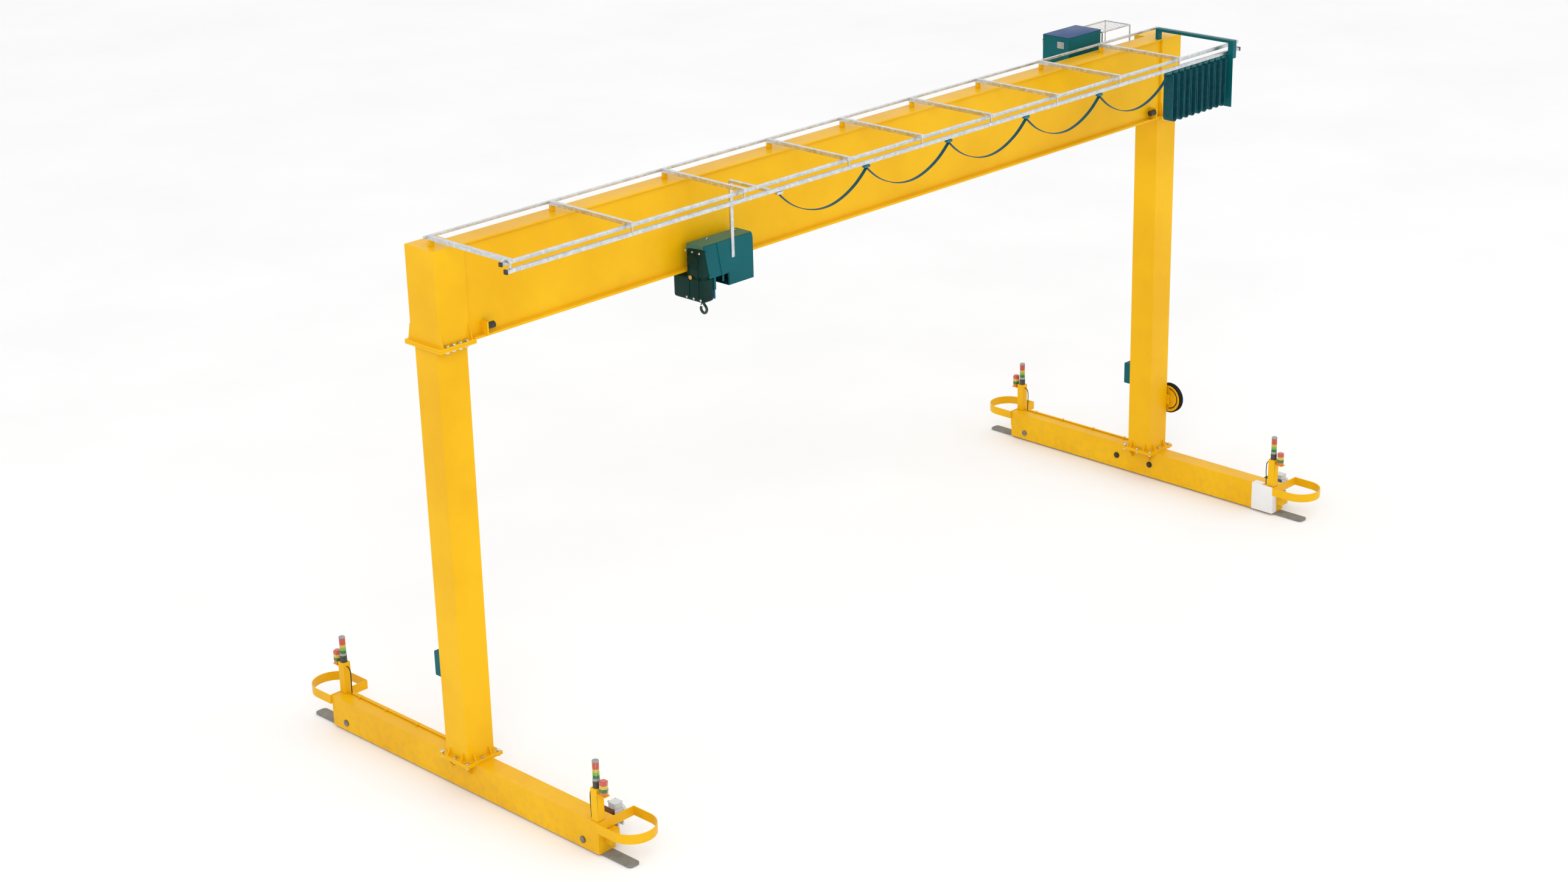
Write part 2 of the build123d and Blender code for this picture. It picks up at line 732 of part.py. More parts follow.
def make_end_frame():
    """Frame that closes the parking end of the track, with its plate behind the cable."""
    x = mid_x + parked_first + parked_pitch * (parked_carriers - 1) + 60
    y = leg_y + track_y
    with BuildPart() as frame:
        slab((x, x + 8), about(y, ribbon_width / 2 + 15), (carrier_top - ribbon_depth - 60, track_bottom - 1))
        slab((x, x + 60), (y - ribbon_width / 2 - 15, y - track_side / 2 - 5), (track_bottom - 40, arm_top + 30))
        slab((x, x + 60), (y - ribbon_width / 2 - 15, leg_y - 130), (arm_top, arm_top + 30))
        slab((x, x + 60), (leg_y - 170, leg_y - 130), (girder_top, arm_top + 30))
    save(frame, "end_frame")


# ---- trolley and hoist ----------------------------------------------------------------------
def make_trolley_frame():
    """Side plates beside the bottom flange, tied under it, with the roller pins and rope anchor."""
    x = mid_x + trolley_x
    z = (cap_top + side_plate_z[0], cap_top + side_plate_z[1])
    roller_z = flange_top + roller_radius + carrier_seat
    bar_z = (cap_top - 99, cap_top - 39)
    hook = mid_x + hook_x
    anchor_y = leg_y + drum_y + drum_radius + rope_radius + carrier_seat + 2 * sheave_pitch
    with BuildPart() as frame:
        slab(about(x, trolley_half), (near_plate, near_plate + side_plate), z)
        slab(about(x, trolley_half), (far_plate - side_plate, far_plate), z)
        for side in ends:
            slab(about(x + side * tie_spacing, tie_bar / 2), (near_plate, far_plate), bar_z)
            for plate, into in ((near_plate, 1), (far_plate, -1)):
                tip = plate + into * (side_plate + flange_clear + roller_width + 1)
                rod("y", (x + side * roller_spacing, (plate + tip) / 2, roller_z), roller_pin, abs(tip - plate))
        slab((x - tie_spacing, x + tie_spacing), about(anchor_y, 12), (bar_z[1] - 12, bar_z[1]))
        slab(about(hook, 14), about(anchor_y, 12), (bar_z[1] - 38, bar_z[1]))
    save(frame, "trolley_frame")


def make_roller(index, x, near):
    """Trolley wheel on the bottom flange, running on its pin."""
    y = near_web - 5 - roller_width / 2 if near else far_web + 5 + roller_width / 2
    centre = (x, y, flange_top + roller_radius + carrier_seat)
    with BuildPart() as roller:
        rod("y", centre, roller_radius, roller_width)
        rod("y", centre, roller_pin + running, roller_width + 2, mode=Mode.SUBTRACT)
        chamfer(roller.edges().filter_by(GeomType.CIRCLE).group_by(SortBy.RADIUS)[-1], 3)
    save(roller, f"trolley_wheel_{index}")


def make_hoist_cases():
    """Gear case at the left end, and the case over the rope drum and motor."""
    front, back = case_front, case_back
    gear_x = (mid_x + gear_case_x[0], mid_x + gear_case_x[1])
    drum_case = (mid_x + drum_case_x[0], mid_x + drum_case_x[1])
    shaft = (gear_x[1] - 10, leg_y + drum_y, drum_z)
    with BuildPart() as gear_case:
        slab(gear_x, (front, back), gear_case_z)
        slab(gear_x, (front, leg_y + gear_sump_y), gear_sump_z)
        slab(gear_x, (front, back), (gear_sump_z[1], gear_case_z[0]))
        wall = 3 * case_wall
        slab((gear_x[0] + wall, gear_x[1] - wall), (front + wall, back - wall),
             (gear_sump_z[0] + wall, gear_case_z[1] - wall), mode=Mode.SUBTRACT)
        slab((gear_x[0] + wall, gear_x[1] - wall), (back - wall - 1, leg_y + gear_sump_y - wall),
             (gear_sump_z[0] + wall, gear_sump_z[1] - wall), mode=Mode.SUBTRACT)
        rod("x", shaft, axle_radius + running, 30, mode=Mode.SUBTRACT)
    save(gear_case, "gear_case")
    with BuildPart() as case:
        slab(drum_case, (front, back), drum_case_z)
        slab((drum_case[0] + case_wall, drum_case[1] - case_wall), (front + case_wall, back - case_wall),
             (drum_case_z[0] + case_wall, drum_case_z[1] - case_wall), mode=Mode.SUBTRACT)
        slab((mid_x + notch_x[0], mid_x + notch_x[1]), (front - 1, back + 1), (drum_case_z[0] - 1, notch_top),
             mode=Mode.SUBTRACT)
        rod("x", (drum_case[0], shaft[1], shaft[2]), axle_radius + 3, 2 * case_wall + 2, mode=Mode.SUBTRACT)
        edge = case.edges().filter_by(Axis.X).group_by(Axis.Z)[-1].sort_by(Axis.Y)[0]
        chamfer(edge, 20)
    save(case, "drum_case")


def make_drum_and_motor():
    """Rope drum on its shaft, and the motor that carries the shaft's other end."""
    low, high = mid_x + drum_x[0], mid_x + drum_x[1]
    y = leg_y + drum_y
    with BuildPart() as drum:
        rod("x", ((low + high) / 2, y, drum_z), drum_radius, high - low)
        for end in (low + 4, high - 4):
            rod("x", (end, y, drum_z), drum_radius + drum_rim, 8)
        shaft = (mid_x + gear_case_x[1] - 11, high + 20)
        rod("x", ((shaft[0] + shaft[1]) / 2, y, drum_z), axle_radius, shaft[1] - shaft[0])
    save(drum, "rope_drum")
    motor = (high + 6, mid_x + drum_case_x[1] - case_wall - 20)
    with BuildPart() as body:
        rod("x", ((motor[0] + motor[1]) / 2, y, drum_z), 85, motor[1] - motor[0])
        rod("x", (motor[0] + 15, y, drum_z), axle_radius + running, 32, mode=Mode.SUBTRACT)
        for x in (motor[0] + 35, motor[1] - 25):
            slab(about(x, 12), about(y, 60), (drum_case_z[0] + case_wall, drum_z - 75))
    save(body, "hoist_motor")


def make_rope():
    """Wire rope from the drum, under the sheave and up to its anchor on the frame."""
    x = mid_x + hook_x
    y = leg_y + drum_y + drum_radius + rope_radius + carrier_seat
    anchor_z = cap_top - 39 - 38
    with BuildPart() as rope:
        with BuildLine() as path:
            Line((x, y, drum_z), (x, y, sheave_z))
            ThreePointArc((x, y, sheave_z), (x, y + sheave_pitch, sheave_z - sheave_pitch),
                          (x, y + 2 * sheave_pitch, sheave_z))
            Line((x, y + 2 * sheave_pitch, sheave_z), (x, y + 2 * sheave_pitch, anchor_z))
        with BuildSketch(Plane(origin=(x, y, drum_z), z_dir=(0, 0, -1))):
            Circle(rope_radius)
        sweep(path=path.line)
    save(rope, "wire_rope")


def make_hook_block():
    """Cheeks and crosshead, the sheave between them, the hook and its latch."""
    x = mid_x + hook_x
    y = leg_y + drum_y + drum_radius + rope_radius + carrier_seat + sheave_pitch
    gap = sheave_width / 2 + cheek_gap
    cross_top = sheave_z - cheek_radius - 24
    cross = 40
    shank = 10
    with BuildPart() as block:
        for side in ends:
            plate = x + side * (gap + cheek / 2)
            rod("x", (plate, y, sheave_z), cheek_radius, cheek)
            slab(about(plate, cheek / 2), about(y, 38), (cross_top - cross, sheave_z))
        slab(about(x, gap + cheek), about(y, 38), (cross_top - cross, cross_top))
        rod("z", (x, y, cross_top - cross / 2), shank + running, cross + 2, mode=Mode.SUBTRACT)
        rod("x", (x, y, sheave_z), roller_pin, 2 * (gap + cheek) + 12)
    save(block, "hook_block")
    with BuildPart() as sheave:
        rod("x", (x, y, sheave_z), sheave_rim, sheave_width)
        with BuildSketch(Plane((x, y, sheave_z), x_dir=(1, 0, 0), z_dir=(0, -1, 0))):
            with Locations((0, sheave_pitch)):
                Circle(rope_radius + 0.5)
            with Locations((0, sheave_pitch + 12)):
                Rectangle(2 * rope_radius + 1, 24)
        revolve(axis=Axis((x, y, sheave_z), (1, 0, 0)), mode=Mode.SUBTRACT)
        rod("x", (x, y, sheave_z), roller_pin + running, sheave_width + 2, mode=Mode.SUBTRACT)
    save(sheave, "rope_sheave")
    bowl, bar = 38, 13
    latch_y, latch_z = 19, -6  # latch pin from the hook's axis, and from the neck
    low = cross_top - cross
    neck = low - 12
    centre = neck - 62
    with BuildPart() as hook:
        rod("z", (x, y, (cross_top + 8 + neck) / 2), shank, cross_top + 8 - neck)
        rod("z", (x, y, cross_top + 6.3), shank + 4, 12)
        rod("z", (x, y, low - 6.3), shank + 8, 12)
        for ear in ends:
            slab(about(x + ear * 8.5, 1.5), (y + 4, y + 25), (neck - 14, neck + 2))
        rod("x", (x, y + latch_y, neck + latch_z), 3, 20)
        with BuildLine() as path:
            start = (x, y, neck + 2)
            Spline(start, (x, y - 20, centre + 34), (x, y - bowl, centre), (x, y, centre - bowl),
                   (x, y + bowl, centre), (x, y + bowl - 3, centre + 16),
                   tangents=[(0, 0, -1), (0, -0.2, 1)])
        with BuildSketch(Plane(origin=start, z_dir=(0, 0, -1))):
            Circle(bar)
        sweep(path=path.line)
    save(hook, "hook")
    with BuildPart() as latch:
        tip_z, root_z = centre + 30, neck + latch_z
        plane = Plane((x, y, 0), x_dir=(0, 1, 0), z_dir=(1, 0, 0))
        with BuildSketch(plane):
            Polygon((latch_y - 3, root_z), (latch_y + 4, root_z), (bowl + 4, tip_z), (bowl - 3, tip_z), align=None)
        extrude(amount=5, both=True)
        rod("x", (x, y + latch_y, root_z), 5.5, 12)
        rod("x", (x, y + latch_y, root_z), 3 + running, 14, mode=Mode.SUBTRACT)
    save(latch, "hook_latch")
    print("hook axis y", round(y, 1), "bowl centre z", round(centre, 1),
          "latch pin", round(y + latch_y, 1), round(root_z, 1))


def make_tow_arm():
    """Arm from the drum case up and out to the first cable carrier."""
    x = mid_x + tow_x
    y = leg_y + track_y
    with BuildPart() as arm:
        slab(about(x, 18), (case_front - tow_bar, case_front), (cap_top + tow_foot_rise, carrier_top))
        slab(about(x, 18), (y + carrier_block[1] / 2 - 1, case_front),
             (carrier_top - carrier_block[2], carrier_top))
        carrier(x)
    save(arm, "tow_arm")


def make_buffers():
    """Rubber buffers on the trolley stops."""
    z = flange_top + 75
    y = near_plate - 5
    with BuildPart() as buffers:
        for side, x in zip((1, -1), leg_xs.values()):
            face = x + side * (stop_inset + 8)
            rod("x", (face + side * buffer_length / 2, y + 8, z), buffer_radius, buffer_length)
    save(buffers, "trolley_buffers")


# ---- cabinet and platform --------------------------------------------------------------------
def make_cabinet():
    """Electric cabinet behind the girder, its door, and the platform that serves it."""
    x = (mid_x + cabinet_x[0], mid_x + cabinet_x[1])
    y = (leg_y + cabinet_y[0], leg_y + cabinet_y[1])
    with BuildPart() as cabinet:
        slab(x, y, cabinet_z)
        slab((x[0] + cabinet_wall, x[1] - cabinet_wall), (y[0] + cabinet_wall, y[1] + 1),
             (cabinet_z[0] + cabinet_wall, cabinet_z[1] - cabinet_wall), mode=Mode.SUBTRACT)
        slab((x[0] + 40, x[1] - 40), (y[0] + cabinet_wall, y[0] + 18), (cabinet_z[0] + 40, cabinet_z[1] - 40))
        for i in range(4):
            left = x[0] + 70 + 100 * i
            slab((left, left + 70), (y[0] + 17, y[0] + 110), (cabinet_z[0] + 120, cabinet_z[0] + 240))
    save(cabinet, "cabinet")
    with BuildPart() as door:
        slab(x, (y[1] + door_gap, y[1] + door_gap + cabinet_door), cabinet_z)
        for up in (cabinet_z[0] + 70, cabinet_z[1] - 70):
            rod("z", (x[0], y[1] + door_gap + cabinet_door, up), cabinet_door, hinge_length)
        slab((x[1] - 60, x[1] - 40), (y[1] + door_gap + cabinet_door, y[1] + 30), about(sum(cabinet_z) / 2, 45))
    save(door, "cabinet_door")
    deck = (mid_x + platform_x[0], mid_x + platform_x[1])
    with BuildPart() as platform:
        slab((x[0], deck[1]), (far_web, y[1]), (cabinet_z[0] - 40, cabinet_z[0] - 30))
        for place in (x[0] + 6, x[1] - 6, deck[0] + 6, deck[1] - 6):
            slab(about(place, 6), (far_web, y[1]), (cabinet_z[0] - 100, cabinet_z[0] - 30))
        for place in (x[0] + 40, x[1] - 40):
            slab(about(place, 20), (y[0] + 40, y[1] - 40), (cabinet_z[0] - 31, cabinet_z[0]))
        for cx in (deck[0] + 6, deck[1] - 6):
            for cy in (y[0] + 6, y[1] - 6):
                slab(about(cx, 6), about(cy, 6), (cabinet_z[0] - 31, platform_z))
        for cy in (y[0] + 6, y[1] - 6):
            slab((deck[0], deck[1]), about(cy, 6), (platform_z - 12, platform_z))
        for cx in (deck[0] + 6, deck[1] - 6):
            slab(about(cx, 6), y, (platform_z - 12, platform_z))
        for i in range(wires):
            cy = y[0] + (y[1] - y[0]) * (i + 1) / (wires + 1)
            rod("x", ((deck[0] + deck[1]) / 2, cy, platform_z - 6), wire_radius, deck[1] - deck[0])
    save(platform, "service_platform")


make_girder()
for leg_name, leg_x in leg_xs.items():
    make_head_box(leg_name)
    make_leg(leg_name)
    make_carriage(leg_name)
    make_wheel(f"wheel_{leg_name}_near", leg_x, -wheel_y)
    make_wheel(f"wheel_{leg_name}_far", leg_x, wheel_y)
make_joint_bolts()
make_hoops()
make_floor_guards()
make_axles()
make_drives()
make_drive_cover()
make_plugs()
make_posts()
make_stack_lights()
make_beacons()
make_signal_cables()
make_leg_boxes()
make_reel()
make_track_steel()
make_carriers()
make_parked_cable()
make_loops()
make_end_frame()
make_trolley_frame()
for number, (along, is_near) in enumerate([(-1, True), (1, True), (-1, False), (1, False)], 1):
    make_roller(number, mid_x + trolley_x + along * roller_spacing, is_near)
make_hoist_cases()
make_drum_and_motor()
make_rope()
make_hook_block()
make_tow_arm()
make_buffers()
make_cabinet()
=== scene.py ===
"""Portable gantry crane: finishes, cables, drives and lights built around the fixed frame."""
import math

import bmesh
import bpy
from mathutils import Matrix, Vector


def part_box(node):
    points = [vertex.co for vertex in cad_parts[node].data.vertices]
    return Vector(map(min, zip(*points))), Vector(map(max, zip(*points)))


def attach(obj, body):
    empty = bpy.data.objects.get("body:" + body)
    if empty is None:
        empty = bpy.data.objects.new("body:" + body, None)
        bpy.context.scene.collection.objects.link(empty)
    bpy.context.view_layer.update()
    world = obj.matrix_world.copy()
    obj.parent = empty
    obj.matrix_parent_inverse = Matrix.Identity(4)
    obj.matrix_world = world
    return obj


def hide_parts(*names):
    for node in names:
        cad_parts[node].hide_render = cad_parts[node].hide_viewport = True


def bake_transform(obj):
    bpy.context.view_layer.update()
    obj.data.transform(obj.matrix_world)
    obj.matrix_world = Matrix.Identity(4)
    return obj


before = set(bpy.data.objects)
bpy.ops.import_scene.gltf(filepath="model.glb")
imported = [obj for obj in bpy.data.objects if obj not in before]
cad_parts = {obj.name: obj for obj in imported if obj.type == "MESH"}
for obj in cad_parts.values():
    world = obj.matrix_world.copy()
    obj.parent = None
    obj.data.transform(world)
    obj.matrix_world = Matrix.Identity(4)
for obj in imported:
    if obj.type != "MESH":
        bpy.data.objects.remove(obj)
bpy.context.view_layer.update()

bl_info = {
    "name": "Portable Gantry Crane",
    "version": (1, 0, 0),
    "blender": (4, 5, 0),
    "location": "View3D > Sidebar > Crane",
    "description": "Builds the looks of a gantry crane around its fixed frame",
    "category": "Object",
}

MM = 0.001
TURN = 2 * math.pi
X, Y, Z = Vector((1, 0, 0)), Vector((0, 1, 0)), Vector((0, 0, 1))
SIDES = ("left", "right")

# Measures of the fixed frame that its boxes don't give, in metres.
NOSE = 0.070  # nose box on each end of a carriage
POST_INSET = 0.045  # middle of a signal post, from its carriage's end and from the wheels' middle
POST_SIDE = 0.080
POST_HEIGHT = 0.315
CARRIAGE_TOP = 0.325
CARRIAGE_HALF = 0.095  # half of a carriage's width
LEG_Y = -0.060  # middle of the legs, along Y
WEB_OUT = 0.090  # outside of a girder web, from the girder's middle
CARRIER_HALF = 0.035  # half of a cable carrier's length
CABLE_SEAT = 0.0003  # gap between a carrier's clamp and the cable under it
CABLE_DROP = 0.008  # a cable's middle under its clamp, square to the cable
ROPE_ANCHOR = 4.162  # height at which the rope's still end is held
CABINET_DEPTH = 0.340
DOOR_FACE = 0.0043  # outside of the cabinet's door, past the cabinet's depth


def linear(code):
    """An sRGB hex colour as linear red, green, blue and alpha."""
    parts = [int(code[i:i + 2], 16) / 255 for i in (1, 3, 5)]
    return (*[p / 12.92 if p <= 0.04045 else ((p + 0.055) / 1.055) ** 2.4 for p in parts], 1.0)


def tint(name, words, code):
    """A colour that a user may change, with its default from a hex code."""
    return bpy.props.FloatVectorProperty(name=name, description=words, subtype="COLOR", size=4,
                                         min=0, max=1, default=linear(code))


def length(name, words, millimetres):
    """A size that a user may change, with its default in millimetres."""
    return bpy.props.FloatProperty(name=name, description=words, default=millimetres * MM, min=0,
                                   unit="LENGTH", subtype="DISTANCE", precision=4)


class CraneColours(bpy.types.PropertyGroup):
    enamel: tint("Crane enamel", "Golden yellow enamel of the steelwork", "#EFB910")
    enamel_shade: tint("Enamel shade", "Where the enamel went on thinner", "#E6AD0A")
    hoist: tint("Hoist enamel", "Teal enamel of the hoist and boxes", "#035F65")
    roof: tint("Cabinet roof", "Blue of the cabinet's roof", "#123F78")
    cable: tint("Cable sheath", "Teal sheath of the flat cables", "#035460")
    motor: tint("Motor paint", "Light grey of the travel motors", "#DDE0E2")
    # Painted shade: the left gearbox's brown stands in for the shade on the side of the white drive cover.
    gearbox: tint("Gearbox brown, painted shade", "Brown of the left travel gearbox, painted shade of the drive cover's side", "#7A4A26")
    floor: tint("Floor", "Plain studio floor", "#F7F7F7")


class CraneSizes(bpy.types.PropertyGroup):
    cable_width: length("Cable width", "Width of one flat cable", 34)
    cable_thick: length("Cable thickness", "Thickness of one flat cable", 8)
    fold_width: length("Fold width", "Width of the folded cables side by side", 118)
    fold_thick: length("Fold thickness", "Thickness of the folded cables", 14)
    rope: length("Rope diameter", "Diameter of the wire rope", 10)
    lay: length("Rope lay", "Length of one turn of a strand", 64)
    lead: length("Lead diameter", "Diameter of the signal leads", 10)
    bead: length("Weld bead", "Radius of the fillet weld beads", 5)


def colours():
    """The scene's own colours of the crane."""
    return bpy.context.scene.crane_colours


def sizes():
    """The scene's own sizes of the crane's cables, rope and beads."""
    return bpy.context.scene.crane_sizes


# ---- shaders ---------------------------------------------------------------------------------
def add(tree, kind, settings=None, values=None, links=None):
    """One shader node, with its settings, its plain input values and the links into it."""
    made = tree.nodes.new(kind)
    for name, value in (settings or {}).items():
        setattr(made, name, value)
    for name, value in (values or {}).items():
        made.inputs[name].default_value = value
    for name, source in (links or {}).items():
        tree.links.new(source, made.inputs[name])
    return made


def place(tree):
    """Position on the piece in metres."""
    return add(tree, "ShaderNodeTexCoord").outputs["Object"]


def surface(name, **values):
    """A new material with these values on its shader's sockets: it, its tree, its shader, its place."""
    material = bpy.data.materials.new(name)
    material.use_nodes = True
    shader = material.node_tree.nodes["Principled BSDF"]
    for socket, value in values.items():
        shader.inputs[socket.replace("_", " ")].default_value = value
    return material, material.node_tree, shader, place(material.node_tree)


def clouds(tree, where, scale, detail=4.0):
    """Soft noise, scale in cells to the metre."""
    return add(tree, "ShaderNodeTexNoise", values={"Scale": scale, "Detail": detail, "Roughness": 0.55},
               links={"Vector": where}).outputs["Fac"]


def rgba(value):
    """A hex code, a grey level or a user's colour as linear red, green, blue and alpha."""
    if isinstance(value, str):
        return linear(value)
    return (value, value, value, 1.0) if isinstance(value, (int, float)) else tuple(value)


def ramp(tree, source, first, last, drives=None):
    """A colour ramp between two (place, colour) stops, led into a shader's socket if one is given."""
    made = add(tree, "ShaderNodeValToRGB", links={"Fac": source})
    for element, stop in zip(made.color_ramp.elements, (first, last)):
        element.position, element.color = stop[0], rgba(stop[1])
    if drives:
        tree.links.new(made.outputs["Color"], drives)
    return made.outputs["Color"]


def painted(tree, shader, source, first, last):
    """Base colour that follows a pattern between two (place, colour) stops."""
    ramp(tree, source, first, last, shader.inputs["Base Color"])


def polished(tree, shader, source, first, last):
    """Roughness that follows a pattern between two (place, roughness) stops."""
    ramp(tree, source, first, last, shader.inputs["Roughness"])


def blend_colour(tree, share, first, second):
    """The first colour where share is 0 and the second where it is 1: a hex code or a socket each."""
    made = add(tree, "ShaderNodeMix", {"data_type": "RGBA"})
    tree.links.new(share, made.inputs[0])
    for socket, value in ((6, first), (7, second)):
        if isinstance(value, str):
            made.inputs[socket].default_value = linear(value)
        else:
            tree.links.new(value, made.inputs[socket])
    return made.outputs[2]


def relief(tree, shader, height, depth, strength):
    """Surface relief of this depth in metres."""
    bump = add(tree, "ShaderNodeBump", values={"Strength": strength, "Distance": depth},
               links={"Height": height})
    tree.links.new(bump.outputs["Normal"], shader.inputs["Normal"])


def sprayed_enamel(name, main, shade, gloss, dust=False):
    """Alkyd enamel, sprayed: a glossy film with orange peel and slow changes of thickness."""
    material, tree, shader, where = surface(name, IOR=1.5, Specular_IOR_Level=0.12, Coat_Weight=0.03,
                                            Coat_Roughness=0.1)
    tone = ramp(tree, clouds(tree, where, 1.1), (0.35, shade), (0.62, main))
    if dust:
        # Road dust lies on the lowest steel and thins out by half a metre up.
        height = add(tree, "ShaderNodeSeparateXYZ", links={"Vector": where}).outputs["Z"]
        low = add(tree, "ShaderNodeMapRange", values={"From Min": 0.45, "From Max": 0.0, "To Max": 0.22},
                  links={"Value": height}).outputs["Result"]
        spots = ramp(tree, clouds(tree, where, 14, 6.0), (0.42, 0), (0.7, 1))
        share = add(tree, "ShaderNodeMath", {"operation": "MULTIPLY"}, links={0: low, 1: spots})
        tone = blend_colour(tree, share.outputs[0], tone, "#8C7A52")
    tree.links.new(tone, shader.inputs["Base Color"])
    polished(tree, shader, clouds(tree, where, 3.0), (0.3, gloss), (0.75, gloss + 0.12))
    # Real orange peel is 3 mm across: drawn at 25 mm, so that it shows at this distance.
    relief(tree, shader, clouds(tree, where, 40, 2.0), 0.0006, 0.35)
    return material


def galvanised(name):
    """Hot-dip galvanised steel: flat zinc crystals, each of its own brightness."""
    material, tree, shader, where = surface(name, Metallic=1.0)
    # Zinc spangle is about 12 mm across: drawn at 30 mm, so that it shows.
    cells = add(tree, "ShaderNodeTexVoronoi", {"feature": "F1"}, {"Scale": 33.0}, {"Vector": where})
    value = add(tree, "ShaderNodeSeparateColor", links={"Color": cells.outputs["Color"]}).outputs[0]
    painted(tree, shader, value, (0.0, "#C3C7CA"), (1.0, "#DDE0E2"))
    polished(tree, shader, value, (0.0, 0.3), (1.0, 0.38))
    relief(tree, shader, cells.outputs["Distance"], 0.0003, 0.2)
    return material


def machined(name, code, rough):
    """Turned or milled steel: fine rings left by the tool, under a film of oil."""
    material, tree, shader, where = surface(name, Metallic=1.0)
    painted(tree, shader, clouds(tree, where, 18), (0.3, code), (0.7, "#8E9194"))
    rings = add(tree, "ShaderNodeTexWave", {"wave_type": "RINGS"}, {"Scale": 60.0, "Distortion": 1.5},
                {"Vector": where}).outputs["Fac"]
    polished(tree, shader, rings, (0.0, rough), (1.0, rough + 0.15))
    relief(tree, shader, rings, 0.0002, 0.25)
    return material


def painted_forging(name, code, light):
    """Drop-forged steel under thin paint: a hammered skin that the paint leaves showing."""
    material, tree, shader, where = surface(name, IOR=1.5)
    skin = clouds(tree, where, 55, 3.0)
    painted(tree, shader, skin, (0.35, code), (0.7, light))
    polished(tree, shader, skin, (0.3, 0.38), (0.8, 0.6))
    relief(tree, shader, skin, 0.0012, 0.5)
    return material


def moulded(name, code, light, rough, scale=90.0, depth=0.0006):
    """Rubber or nylon from a mould: a matt skin, faintly grained."""
    material, tree, shader, where = surface(name, IOR=1.52)
    skin = clouds(tree, where, scale, 3.0)
    painted(tree, shader, clouds(tree, where, 9), (0.35, code), (0.7, light))
    polished(tree, shader, skin, (0.3, rough), (0.8, rough + 0.15))
    relief(tree, shader, skin, depth, 0.4)
    return material


def extruded_sheath(name, main):
    """PVC cable sheath, extruded: smooth along its run, with a faint sheen and handling marks."""
    material, tree, shader, where = surface(name, IOR=1.53, Specular_IOR_Level=0.16)
    marks = clouds(tree, where, 22, 5.0)
    darker = (*[part * 0.62 for part in rgba(main)[:3]], 1.0)
    painted(tree, shader, marks, (0.3, darker), (0.72, main))
    polished(tree, shader, marks, (0.3, 0.34), (0.8, 0.54))
    relief(tree, shader, clouds(tree, where, 160, 2.0), 0.0004, 0.3)
    return material


def lens(name, code, dark):
    """Moulded polycarbonate lens: clear colour with a glossy skin, a little light passing through."""
    material, tree, shader, where = surface(name, IOR=1.585, Transmission_Weight=0.25, Coat_Weight=0.3)
    bands = add(tree, "ShaderNodeTexWave", {"bands_direction": "Z"}, {"Scale": 40.0}, {"Vector": where})
    painted(tree, shader, bands.outputs["Fac"], (0.0, dark), (1.0, code))
    polished(tree, shader, clouds(tree, where, 60), (0.3, 0.12), (0.8, 0.26))
    return material


def wheel_casting(name, wheel_y, wheel_z):
    """Cast iron hub with a cast polyurethane tyre bonded round it: amber-brown and satin outside."""
    material, tree, shader, where = surface(name, IOR=1.5)
    parts = add(tree, "ShaderNodeSeparateXYZ", links={"Vector": where}).outputs
    across = add(tree, "ShaderNodeMath", {"operation": "ABSOLUTE"}, links={0: parts["Y"]}).outputs[0]
    across = add(tree, "ShaderNodeMath", {"operation": "SUBTRACT"}, {1: wheel_y}, {0: across}).outputs[0]
    up = add(tree, "ShaderNodeMath", {"operation": "SUBTRACT"}, {1: wheel_z}, {0: parts["Z"]}).outputs[0]
    offset = add(tree, "ShaderNodeCombineXYZ", links={"X": across, "Y": up}).outputs[0]
    out = add(tree, "ShaderNodeVectorMath", {"operation": "LENGTH"}, links={0: offset}).outputs["Value"]
    tyre = ramp(tree, out, (0.079, 0), (0.081, 1))
    tree.links.new(blend_colour(tree, tyre, "#3A3F40", "#8A5A22"), shader.inputs["Base Color"])
    scuffs = clouds(tree, where, 45, 5.0)
    polished(tree, shader, scuffs, (0.3, 0.4), (0.75, 0.62))
    relief(tree, shader, scuffs, 0.0008, 0.4)
    return material


PAINTS = {}


